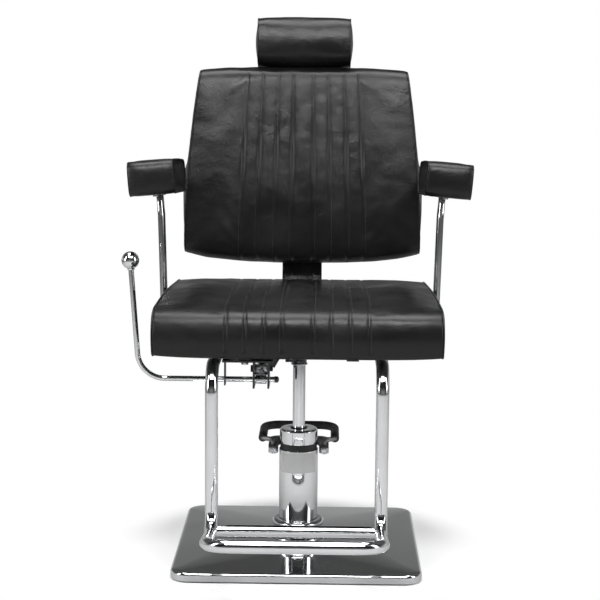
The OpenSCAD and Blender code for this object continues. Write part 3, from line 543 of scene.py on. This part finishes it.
# ---- Pedal ----
# A cold-bent steel rod in a pressed-on rubber grip. Its threaded ends go through a flat black
# yoke with a hex nut below, and the yoke rocks on a pin behind the pump.
PEDAL_STEEL = hard_material("pedal_steel", (0.27, 0.27, 0.275), 0.75, 0.3, 0.45, scale=50, bump=0.08)
BLACK_STEEL = hard_material("black_steel", (0.014, 0.014, 0.015), 0.0, 0.22, 0.42, scale=70, bump=0.1,
                            tone=0.3, coat=0.25)


PEDAL_ROD_R = 5 * mm
PEDAL_GRIP_R = 9 * mm


def pedal_line(part, grip_start=0.014, slope_end=0.011, threaded=0.030):
    """The middle line of the pedal's rod, or of the grip that covers its rear."""
    x1, y1, z1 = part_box("pedal_rod")[1]
    out, reach, level = x1 - PEDAL_ROD_R, y1 - PEDAL_ROD_R, z1 - PEDAL_ROD_R
    foot = 53 * mm
    if part == "grip":
        half = [(-out, grip_start, level), (-out, reach, level)]
        return bent_line(mirrored_route(half), [34 * mm, 34 * mm])
    half = [(-foot, 0, level - threaded), (-foot, 0, level), (-out, slope_end, level), (-out, reach, level)]
    return bent_line(mirrored_route(half), [r * mm for r in (8, 9, 34, 34, 9, 8)])


place_piece("pedal_rod_bent", swept("pedal_rod_bent", pedal_line("rod"), round_section(PEDAL_ROD_R),
                                    0.8 * mm),
            PEDAL_STEEL, "pedal_rod", sharp=60)
place_piece("pedal_grip_moulded", swept("pedal_grip_moulded", pedal_line("grip"),
                                        round_section(PEDAL_GRIP_R, 40),
                                        1.5 * mm), RUBBER, "pedal_grip", sharp=60)
refine("pedal_yoke", BLACK_STEEL, bevel=0.0006)
refine("pedal_nuts", ZINC_STEEL, bevel=0.0006)


# ---- Seat frame ----
# Two square-tube rails and a plate, painted black, bolted to a plywood board. A turned hub
# welded under the plate swivels on the ram's spindle, kept on by one small screw.
PLYWOOD = hard_material("plywood", (0.46, 0.33, 0.19), 0.0, 0.55, 0.8, scale=14, bump=0.4, tone=0.22)
hub_low, hub_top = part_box("seat_hub")[0][2] / mm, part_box("seat_hub")[1][2] / mm
turned_piece("seat_hub", [(10.05, hub_low), (15, hub_low), (15.6, hub_low + 6), (20, hub_low + 10),
                          (20, hub_top - 12),
                          (22.5, hub_top - 6), (30, hub_top), (10.05, hub_top)], BLACK_STEEL, 0.8)
for node in ("seat_plate", "seat_rails", "footrest_clamps", "swivel_screw", "hinge_ears"):
    refine(node, BLACK_STEEL, bevel=0.0007)
refine("frame_bolts", ZINC_STEEL, bevel=0.0005)
refine("seat_board", PLYWOOD, bevel=0.0006)
refine("hinge_pin", ZINC_STEEL, bevel=0.0008)


# ---- Upholstery ----
# Every pad is foam under black leatherette: one wrap over the top, front and underside, closed
# by a side panel at each end and sewn to it over a thin piping cord.
def make_leather_group():
    """Fine grain, soft creases and a slow change of gloss where hands and backs have rubbed."""
    tree, given, made = group_of("leather_skin", {"Grain size": 700.0, "Crease depth": 0.5, "Gloss": 0.34},
                                 {"Roughness": "NodeSocketFloat", "Height": "NodeSocketFloat",
                                  "Rubbed": "NodeSocketFloat"})
    place = add_node(tree, "ShaderNodeTexCoord").outputs["Object"]
    grain = add_node(tree, "ShaderNodeTexVoronoi", {"Vector": place, "Scale": given.outputs["Grain size"]},
                     feature="SMOOTH_F1")
    creases = add_node(tree, "ShaderNodeTexNoise", {"Vector": place, "Scale": 34.0, "Detail": 5.0,
                                                    "Roughness": 0.62, "Distortion": 0.9})
    ridges = add_node(tree, "ShaderNodeMath", {0: creases.outputs["Fac"], 1: 0.5}, operation="SUBTRACT")
    folded = add_node(tree, "ShaderNodeMath", {0: ridges.outputs[0]}, operation="ABSOLUTE")
    deep = add_node(tree, "ShaderNodeMath", {0: folded.outputs[0], 1: given.outputs["Crease depth"]},
                    operation="MULTIPLY")
    pores = add_node(tree, "ShaderNodeMath", {0: grain.outputs["Distance"], 1: 0.05}, operation="MULTIPLY")
    height = add_node(tree, "ShaderNodeMath", {0: deep.outputs[0], 1: pores.outputs[0]}, operation="ADD")
    clouds = add_node(tree, "ShaderNodeTexNoise", {"Vector": place, "Scale": 11.0, "Detail": 4.0})
    rubbed = add_node(tree, "ShaderNodeMapRange", {"Value": clouds.outputs["Fac"], "From Min": 0.35,
                                                   "From Max": 0.7})
    dulled = add_node(tree, "ShaderNodeMath", {0: rubbed.outputs["Result"], 1: 0.16,
                                               2: given.outputs["Gloss"]},
                      operation="MULTIPLY_ADD")
    tree.links.new(dulled.outputs[0], made.inputs["Roughness"])
    tree.links.new(height.outputs[0], made.inputs["Height"])
    tree.links.new(rubbed.outputs["Result"], made.inputs["Rubbed"])
    return tree


LEATHER_SKIN = make_leather_group()


def leather_material(name, dark, light, gloss, crease):
    material = bpy.data.materials.new(name)
    material.use_nodes = True
    tree = material.node_tree
    shader = tree.nodes["Principled BSDF"]
    skin = use_group(tree, LEATHER_SKIN, gloss=gloss, crease_depth=crease)
    tree.links.new(colour_ramp(tree, skin.outputs["Rubbed"], [(0.0, dark), (1.0, light)]),
                   shader.inputs["Base Color"])
    tree.links.new(skin.outputs["Roughness"], shader.inputs["Roughness"])
    relief = add_node(tree, "ShaderNodeBump", {"Height": skin.outputs["Height"], "Strength": 0.55,
                                               "Distance": 0.004})
    tree.links.new(relief.outputs[0], shader.inputs["Normal"])
    shader.inputs["Specular IOR Level"].default_value = 0.36
    return material


LEATHER = leather_material("leatherette", (0.0040, 0.0040, 0.0042), (0.0075, 0.0075, 0.0078), 0.29, 0.42)
PIPING = leather_material("piping", (0.0040, 0.0040, 0.0042), (0.0060, 0.0060, 0.0062), 0.28, 0.1)
THREAD = hard_material("black_thread", (0.035, 0.035, 0.037), 0.0, 0.5, 0.7, scale=400, bump=0.4, tone=0.3)


def rounded_profile(corners, spacing=0.006):
    """Even points round a closed outline of (depth, height, corner radius), in metres."""
    dense = []
    count = len(corners)
    for i in range(count):
        before, here, after = (Vector(corners[(i + k) % count][:2]) for k in (-1, 0, 1))
        reach = corners[i][2]
        start = here + (before - here).normalized() * min(reach, (before - here).length * 0.49)
        end = here + (after - here).normalized() * min(reach, (after - here).length * 0.49)
        for k in range(17):
            t = k / 16
            dense.append((1 - t) ** 2 * start + 2 * t * (1 - t) * here + t ** 2 * end)
    total = sum((dense[(i + 1) % len(dense)] - dense[i]).length for i in range(len(dense)))
    wanted = round(total / spacing)
    points = []
    run = 0.0
    for i in range(len(dense)):
        a, b = dense[i], dense[(i + 1) % len(dense)]
        length = (b - a).length
        while len(points) < wanted and len(points) * total / wanted <= run + length:
            points.append(a.lerp(b, (len(points) * total / wanted - run) / length if length else 0))
        run += length
    return points


GROOVE_SHARE = 0.014
EDGE_SHARE = 0.985


def columns_of(channels, spacing=0.0075, pad_half=0.26):
    """Shares of the half width where the wrap has a column of points: three at each channel."""
    marks = {-1.0, 1.0, -EDGE_SHARE, EDGE_SHARE}
    for line in channels:
        for step in (-GROOVE_SHARE, 0.0, GROOVE_SHARE):
            marks.add(round(line + step, 5))
    marks = sorted(marks)
    filled = []
    for a, b in zip(marks, marks[1:]):
        parts = max(1, round((b - a) * pad_half / spacing))
        filled += [a + (b - a) * k / parts for k in range(parts)]
    return filled + [1.0]


def wrap_rings(profile, shares, half_width, crown, bulge, channels=(), depth=0.004, is_channelled=None):
    """The rings of a pad: the wrap's columns, then each side panel's rings towards its middle."""
    middle = sum(profile, Vector((0, 0))) / len(profile)
    rings = []
    held = []
    panel_steps = 7
    for k in range(panel_steps, 0, -1):
        t = 1 - k / (panel_steps + 1)
        rings.append([(-half_width(p) - bulge * (1 - t * t), *(middle + (p - middle) * t * (1 - crown)))
                      for p in profile])
    first = len(rings)
    for share in shares:
        scale = 1 - crown * abs(share) ** 5
        sunk = min((abs(share - line) for line in channels), default=9) < 1e-4
        ring = []
        for p in profile:
            inward = (middle - p).normalized() * depth if sunk and is_channelled(p) else Vector((0, 0))
            ring.append((share * half_width(p), *(middle + (p - middle) * scale + inward)))
        rings.append(ring)
        held.append(sunk or abs(share) == 1)
    last = len(rings) - 1
    for k in range(1, panel_steps + 1):
        t = 1 - k / (panel_steps + 1)
        rings.append([(half_width(p) + bulge * (1 - t * t), *(middle + (p - middle) * t * (1 - crown)))
                      for p in profile])
    return rings, first, last, held


def inflate(name, mesh, pinned, limit, frames=14, pressure=4.0):
    """Lets the cover swell under the foam's push, held along its seams, then fixes that shape."""
    rest = [v.co.copy() for v in mesh.vertices]
    pad = bpy.data.objects.new(name + "_cloth", mesh.copy())
    scene.collection.objects.link(pad)
    group = pad.vertex_groups.new(name="held")
    group.add(list(pinned), 1.0, "REPLACE")
    cloth = pad.modifiers.new("cover", "CLOTH")
    settings = cloth.settings
    settings.quality = 4
    settings.mass = 0.3
    settings.tension_stiffness = 25
    settings.compression_stiffness = 25
    settings.shear_stiffness = 10
    settings.bending_stiffness = 0.8
    settings.use_pressure = True
    settings.uniform_pressure_force = pressure
    settings.vertex_group_mass = "held"
    settings.effector_weights.gravity = 0
    cloth.collision_settings.use_collision = False
    cloth.point_cache.frame_start = 1
    cloth.point_cache.frame_end = frames
    for frame_number in range(1, frames + 1):
        scene.frame_set(frame_number)
    ready = pad.evaluated_get(bpy.context.evaluated_depsgraph_get())
    swollen = []
    for start, vertex in zip(rest, ready.data.vertices):
        move = vertex.co - start
        if move.length > limit:
            move *= limit / move.length
        swollen.append(start + move)
    scene.frame_set(1)
    bpy.data.objects.remove(pad)
    return swollen


def stitch_tree():
    """Thread stitches along every line of the input: even pitch, turned along the seam."""
    tree = bpy.data.node_groups.new("stitches", "GeometryNodeTree")
    sockets = {}
    tree.interface.new_socket("Lines", in_out="INPUT", socket_type="NodeSocketGeometry")
    for label, default in (("Pitch", 0.0058), ("Stitch length", 0.0036), ("Thread radius", 0.00055)):
        sockets[label] = tree.interface.new_socket(label, in_out="INPUT", socket_type="NodeSocketFloat")
        sockets[label].default_value = default
    tree.interface.new_socket("Stitches", in_out="OUTPUT", socket_type="NodeSocketGeometry")
    given = add_node(tree, "NodeGroupInput")
    curve = add_node(tree, "GeometryNodeMeshToCurve", {"Mesh": given.outputs["Lines"]})
    even = add_node(tree, "GeometryNodeResampleCurve", {"Curve": curve.outputs[0],
                                                        "Length": given.outputs["Pitch"]},
                    mode="LENGTH")
    heading = add_node(tree, "GeometryNodeInputTangent")
    turned = add_node(tree, "FunctionNodeAlignRotationToVector", {"Vector": heading.outputs[0]}, axis="Z")
    half = add_node(tree, "ShaderNodeMath", {0: given.outputs["Stitch length"], 1: 0.5},
                    operation="MULTIPLY")
    size = add_node(tree, "ShaderNodeCombineXYZ", {"X": given.outputs["Thread radius"],
                                                   "Y": given.outputs["Thread radius"],
                                                   "Z": half.outputs[0]})
    thread = add_node(tree, "GeometryNodeMeshUVSphere", {"Segments": 6, "Rings": 5, "Radius": 1.0})
    placed = add_node(tree, "GeometryNodeInstanceOnPoints", {
        "Points": even.outputs[0], "Instance": thread.outputs[0], "Rotation": turned.outputs[0],
        "Scale": size.outputs[0]})
    real = add_node(tree, "GeometryNodeRealizeInstances", {"Geometry": placed.outputs[0]})
    coloured = add_node(tree, "GeometryNodeSetMaterial", {"Geometry": real.outputs[0], "Material": THREAD})
    add_node(tree, "NodeGroupOutput", {0: coloured.outputs[0]})
    return tree, sockets


STITCHES, STITCH_INPUTS = stitch_tree()


def sew(name, lines, node, pitch=0.0058):
    """One mesh of stitches along the lines, riding with the pad they are sewn through."""
    points = [tuple(p) for line in lines for p in line]
    edges = []
    start = 0
    for line in lines:
        edges += [(start + k, start + k + 1) for k in range(len(line) - 1)]
        start += len(line)
    mesh = bpy.data.meshes.new(name + "_lines")
    mesh.from_pydata(points, edges, [])
    holder = bpy.data.objects.new(name + "_lines", mesh)
    scene.collection.objects.link(holder)
    maker = holder.modifiers.new("stitches", "NODES")
    maker.node_group = STITCHES
    maker[STITCH_INPUTS["Pitch"].identifier] = pitch
    ready = holder.evaluated_get(bpy.context.evaluated_depsgraph_get())
    sewn = bpy.data.meshes.new_from_object(ready)
    bpy.data.objects.remove(holder)
    sewn.shade_smooth()
    thread = bpy.data.objects.new(name, sewn)
    scene.collection.objects.link(thread)
    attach(thread, BODY_OF[node])


def pad(node, profile, half_width, place, channels=(), is_channelled=None, crown=0.06, bulge=0.006,
        limit=0.008,
        is_hidden=None, shift=None, depth=0.004, wrinkle=0.0006, piping=0.002, fill=0.8, seed=0.0):
    """A stuffed pad with its piping and, if it is channelled, its stitches."""
    shares = columns_of(channels)
    rings, first, last, held = wrap_rings(profile, shares, half_width, crown, bulge, channels, depth,
                                          is_channelled)
    if shift:
        rings = [[shift(p) for p in ring] for ring in rings]
    count = len(profile)
    mesh = mesh_from_rings(node + "_upholstery", rings)
    pinned = {ring * count + i for ring in (first, last) for i in range(count)}
    for k, sunk in enumerate(held):
        if sunk:
            pinned |= {(first + k) * count + i for i, p in enumerate(profile)
                       if abs(shares[k]) == 1 or is_channelled(p)}
    if is_hidden:
        pinned |= {k for k, vertex in enumerate(mesh.vertices) if is_hidden(vertex.co)}
    swollen = inflate(node, mesh, pinned, limit)
    normals = [vertex.normal.copy() for vertex in mesh.vertices]
    shaped = []
    for k, point in enumerate(swollen):
        spot = point * 26 + Vector((seed, 0, seed))
        fold = noise.noise(spot) + 0.5 * noise.noise(spot * 2.3)
        shaped.extend(point if k in pinned else point + normals[k] * wrinkle * fold)
    mesh.vertices.foreach_set("co", shaped)
    rough = bpy.data.objects.new(node + "_rough", mesh)
    scene.collection.objects.link(rough)
    finer = rough.modifiers.new("finer", "SUBSURF")
    finer.levels = 1
    finer.render_levels = 1
    finer.use_limit_surface = False
    fine = bpy.data.meshes.new_from_object(rough.evaluated_get(bpy.context.evaluated_depsgraph_get()))
    bpy.data.objects.remove(rough)
    skin = BVHTree.FromPolygons([v.co.copy() for v in fine.vertices],
                                [tuple(f.vertices) for f in fine.polygons])

    def line_on_skin(ring, members, lift):
        points = []
        for i in members:
            spot, normal, _, _ = skin.find_nearest(fine.vertices[ring * count + i].co)
            points.append(place @ (spot + normal * lift))
        return points

    cords = [line_on_skin(ring, range(count), piping * 0.3) for ring in (first, last)]
    seams = []
    for k, share in enumerate(shares):
        beside = min((abs(abs(share - line) - GROOVE_SHARE) for line in channels), default=9) < 1e-4
        outer = beside and any(abs(share) > abs(line) and abs(share - line) < 1.4 * GROOVE_SHARE
                               for line in channels)
        if outer:
            seams.append(line_on_skin(first + k, [i for i in range(count) if is_channelled(profile[i])],
                                      0.0001))
    fine.transform(place)
    face_outward(fine)
    piece = place_piece(node + "_upholstery", fine, LEATHER, node, sharp=180)
    for side, cord in zip(("a", "b"), cords):
        tube = swept(f"{node}_piping_{side}", cord, round_section(piping, 10), closed=True,
                     up=place.to_3x3().col[0])
        tube.materials.append(PIPING)
        tube.shade_smooth()
        welt = bpy.data.objects.new(f"{node}_piping_{side}", tube)
        scene.collection.objects.link(welt)
        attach(welt, BODY_OF[node])
    if seams:
        sew(node + "_stitches", seams, node)


# ---- Seat cushion ----
# Foam on the plywood board, wider in front, with eight channels sewn over the top and down the
# front. The cover is stapled under the board.
seat_front, seat_rear = -0.268, 0.217
seat_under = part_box("seat_cushion")[0][2] - 0.0015
seat_profile = rounded_profile([
    (-0.259, seat_under, 0.008), (-0.270, 0.495, 0.070), (-0.252, 0.544, 0.042), (-0.060, 0.556, 0.150),
    (0.216, 0.546, 0.030), (seat_rear, seat_under, 0.012)])


def seat_half_width(point):
    share = (point[0] - seat_front) / (seat_rear - seat_front)
    return 0.281 - 0.016 * share


pad("seat_cushion", seat_profile, seat_half_width, Matrix.Identity(4), channels=[
    side * line for side in (-1, 1) for line in (0.105, 0.231, 0.361, 0.491)],
    is_channelled=lambda p: p[1] > seat_under + 0.012 and p[0] < 0.205, crown=0.05, bulge=0.007,
    limit=0.012,
    is_hidden=lambda p: p.z < seat_under + 0.002, piping=0.0022, seed=3.0)


# ---- Footrest ----
# One chromed tube bent six times: clamped under the board, down both legs and round the front,
# with a straight tube welded between the legs.
(tube_x, tube_front, tube_low), (_, tube_rear, tube_high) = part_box("footrest_tube")
(_, cross_front, cross_low), (_, cross_rear, cross_high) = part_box("footrest_crossbar")
tube_r = (cross_rear - cross_front) / 2
leg_x, leg_y = tube_x + tube_r, -0.245
bar_y = tube_front + tube_r
footrest_line = bent_line(mirrored_route([
    (leg_x, tube_rear, tube_high - tube_r), (leg_x, leg_y, tube_high - tube_r), (leg_x, leg_y, 0.103),
    (leg_x, bar_y, 0.134)]), [r * mm for r in (50, 40, 50, 50, 40, 50)], arc_step=math.radians(3))
place_piece("footrest_tube_bent", swept("footrest_tube_bent", footrest_line, round_section(tube_r, 40),
                                        0.6 * mm),
            CHROME, "footrest_tube", sharp=60)
cross_middle = ((cross_front + cross_rear) / 2, (cross_low + cross_high) / 2)
cross_line = [Vector((leg_x * (1 - k / 8), *cross_middle)) for k in range(17)]
place_piece("footrest_crossbar_tube", swept("footrest_crossbar_tube", cross_line, round_section(tube_r,
                                                                                                40)),
                                                                                                CHROME,
            "footrest_crossbar", sharp=60)
WELD = hard_material("weld_bead", (0.50, 0.50, 0.51), 1.0, 0.25, 0.45, scale=300, bump=0.5, tone=0.1)


def weld_bead(name, side):
    """A bead round the crossbar's end, with the ripples that the torch leaves."""
    rings = []
    turns, sides = 72, 8
    for k in range(turns):
        a = 2 * math.pi * k / turns
        bead = (1.9 + 0.35 * math.sin(a * 24)) * mm
        spoke = Vector((0, math.cos(a), math.sin(a)))
        bite = math.sqrt(max(tube_r ** 2 - (tube_r * math.sin(a + math.pi / 2)) ** 2 * 0.55, 0))
        centre = Vector((side * (-leg_x - bite), *cross_middle)) + spoke * tube_r
        rings.append([centre + spoke * bead * math.cos(b) + Vector((bead * math.sin(b), 0, 0))
                      for b in (2 * math.pi * j / sides for j in range(sides))])
    place_extra(name, mesh_from_rings(name, rings, closed=True), WELD, "footrest_crossbar")


weld_bead("weld_left", -1)
weld_bead("weld_right", 1)


# ---- Arms ----
# A flat-oval chromed bar is bolted under the board and rises to each pad, where a steel strip
# is screwed into the pad's plywood core.
def oval_section(thick, wide, sides=10):
    """Offsets round a flat oval: wide along the first axis."""
    points = []
    for end in (1, -1):
        for k in range(sides + 1):
            a = math.pi * (k / sides - 0.5)
            points.append((end * ((wide - thick) / 2 + thick / 2 * math.cos(a)),
                           end * thick / 2 * math.sin(a)))
    return points


def arm_place(side):
    turn = Matrix.Rotation(math.radians(-3.6), 4, "X") @ Matrix.Rotation(math.radians(side * 5), 4, "Y")
    return Matrix.Translation((side * 0.297, 0.035, 0.779)) @ turn


def arm_half_width(_):
    return 0.044


arm_profile = rounded_profile([
    (-0.149, -0.0355, 0.016), (-0.154, 0.000, 0.030), (-0.148, 0.034, 0.020), (0.0, 0.0355, 0.150),
    (0.148, 0.033, 0.022), (0.153, 0.0, 0.030), (0.148, -0.0355, 0.016)], spacing=0.0055)
for side, name in ((-1, "left"), (1, "right")):
    low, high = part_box("arm_post_" + name)
    post_y = (low[1] + high[1]) / 2
    route = [(side * 0.190, post_y, 0.4455), (side * 0.2815, post_y, 0.4455), (side * 0.288, post_y, 0.700),
             (side * 0.2915, post_y, 0.747)]
    post = swept("arm_post_bent_" + name, bent_line(route, [0.016, 0.060]), oval_section(0.013, 0.038),
                 0.5 * mm,
                 up=(0, 0, 1))
    place_piece("arm_post_bent_" + name, post, CHROME, "arm_post_" + name, sharp=50)
    pad("arm_pad_" + name, arm_profile, arm_half_width, arm_place(side), crown=0.03, bulge=0.006,
        limit=0.006,
        wrinkle=0.0004, piping=0.0016, seed=7.0 + side,
        is_hidden=lambda p: p.z < -0.0340 and abs(p.x) < 0.03)
refine("arm_plates", BLACK_STEEL)
refine("arm_screws", ZINC_STEEL)
refine("arm_cores", PLYWOOD)


# ---- Recline lever ----
# A chromed rod bent upwards to a ball. Its inner end turns in a folded bracket, and a finger on
# its collar presses the gas spring's release pin.
GAS_BLACK = hard_material("gas_black", (0.022, 0.022, 0.023), 0.0, 0.15, 0.3, scale=50, bump=0.05, coat=0.5)
DARK_STUD = hard_material("dark_stud", (0.10, 0.10, 0.105), 0.9, 0.3, 0.5, scale=90, bump=0.2)
stud_low, stud_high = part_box("lever_stud")
ball_low, ball_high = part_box("lever_ball")
ball_middle = (Vector(ball_low) + Vector(ball_high)) / 2
ball_r = (ball_high[1] - ball_low[1]) / 2
lever_y = ball_middle.y
lever_z = (stud_low[2] + stud_high[2]) / 2
lever_line = bent_line([ball_middle, (-0.327, lever_y, lever_z), (stud_low[0], lever_y, lever_z)], [0.056],
                       arc_step=math.radians(3))
place_piece("lever_rod_bent", swept("lever_rod_bent", lever_line, round_section(5.5 * mm)), CHROME,
            "lever_rod",
            sharp=60)


ball_outline = [(0, -ball_r / mm)]
ball_outline += [(ball_r / mm * math.sin(a),
                  -ball_r / mm * math.cos(a)) for a in (math.pi * k / 40 for k in range(1, 37))]
ball_outline += [(7.5, ball_r / mm * 0.93), (7.2, ball_r / mm + 1.5), (0, ball_r / mm + 1.5)]
stem = (lever_line[1] - lever_line[0]).normalized()
ball_mesh = turned_along("lever_ball_turned", ball_middle, stem, ball_outline, 72)
place_piece("lever_ball_turned", ball_mesh, CHROME, "lever_ball", sharp=50)
refine("lever_cam", ZINC_STEEL, bevel=0.0008)
stud_r = (stud_high[2] - stud_low[2]) / 2 / mm


def knurled_stud():
    """A dark stud with fine straight knurls and a narrowing tip."""
    steps = 96
    rings = []
    length = (stud_high[0] - stud_low[0]) / mm
    for distance, radius, rough in ((0, 0.8, 0), (0, 1, 0), (1, 1, 1), (6.5, 1, 1), (7.2, 0.92, 0),
                                    (8.6, 0.7, 0),
                                    (length, 0.4, 0)):
        ring = []
        for k in range(steps):
            a = 2 * math.pi * k / steps
            r = stud_r * radius * (1 - 0.05 * rough * (k % 4 == 0)) * mm
            ring.append((stud_low[0] + distance * mm, lever_y + r * math.cos(a), lever_z + r * math.sin(a)))
        rings.append(ring)
    return mesh_from_rings("lever_stud_knurled", rings)


place_piece("lever_stud_knurled", knurled_stud(), DARK_STUD, "lever_stud", sharp=35)
refine("lever_bracket", BLACK_STEEL, bevel=0.0006)
refine("release_pin", ZINC_STEEL, bevel=0.0004)
refine("gas_head", ZINC_STEEL, bevel=0.0010)
refine("gas_head_bolt", BLACK_STEEL, bevel=0.0006)
gas_low, gas_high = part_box("gas_cylinder")
gas_middle = Vector(((gas_low[0] + gas_high[0]) / 2, gas_low[1], (gas_low[2] + gas_high[2]) / 2))
gas_r = (gas_high[2] - gas_low[2]) / 2 / mm
gas_length = (gas_high[1] - gas_low[1]) / mm
gas_outline = softened([(4.1, 0), (gas_r - 1.5, 0), (gas_r, 2), (gas_r, gas_length - 5),
                        (gas_r - 0.8, gas_length - 4),
                        (gas_r, gas_length - 3), (gas_r - 2, gas_length), (4.1, gas_length)], 0.6)
place_piece("gas_cylinder_turned", turned_along("gas_cylinder_turned", gas_middle, (0, 1, 0), gas_outline),
            GAS_BLACK,
            "gas_cylinder", sharp=60)
refine("gas_rod", CHROME, bevel=0.0004)


# ---- Backrest ----
# A flat steel bar with two arms to the hinge tube carries the plywood board. The cover wraps over
# the top, front and lower edge in eight channels, and a flat panel closes the rear.
LEAN = math.radians(12)
BACK_PLACE = Matrix.Translation((0, 0.245, 0.590)) @ Matrix.Rotation(-LEAN, 4, "X")
back_height = 0.422
back_profile = rounded_profile([
    (0.0425, -0.006, 0.008), (-0.026, -0.016, 0.050), (-0.0445, 0.120, 0.130), (-0.0350, 0.421, 0.040),
    (0.0425, 0.421, 0.008)])


def back_half_width(point):
    share = min(max(point[1] / back_height, 0.0), 1.0)
    return 0.2575 - 0.0305 * share ** 2


def lift_corners(point):
    """The lower edge hangs lowest in the middle."""
    x, w, v = point
    share = min(abs(x) / 0.258, 1.0)
    return (x, w, v + 0.013 * share ** 3.5 * max(0.0, 1 - v / 0.2) ** 1.5)


pad("back_cushion", back_profile, back_half_width, BACK_PLACE, channels=[
    side * line for side in (-1, 1) for line in (0.094, 0.234, 0.386, 0.526)],
    is_channelled=lambda p: p[0] < 0.0 and p[1] < 0.405, crown=0.025, bulge=0.007, limit=0.014,
    is_hidden=lambda p: p.y > 0.0415, shift=lift_corners, depth=0.0045, piping=0.0022, seed=11.0,
    wrinkle=0.0008)
refine("back_board", PLYWOOD)
refine("back_panel", LEATHER, bevel=0.0008)
refine("back_bar", BLACK_STEEL, bevel=0.0009)
refine("back_bolts", ZINC_STEEL, bevel=0.0006)
refine("gas_pin", ZINC_STEEL, bevel=0.0004)


# ---- Headrest ----
# A foamed pad on a flat steel post that slides in a sleeve on the backrest's board.
head_profile = rounded_profile([
    (0.047, 0.426, 0.022), (-0.030, 0.425, 0.036), (-0.041, 0.480, 0.060), (-0.030, 0.535, 0.036),
    (0.047, 0.535, 0.030)], spacing=0.0055)


def head_half_width(point):
    return 0.1015


pad("headrest_cushion", head_profile, head_half_width, BACK_PLACE, crown=0.05, bulge=0.007, limit=0.010,
    piping=0.0018, seed=15.0, wrinkle=0.0006)
refine("headrest_guide", MILL_STEEL)
refine("headrest_post", ZINC_STEEL, bevel=0.0008)
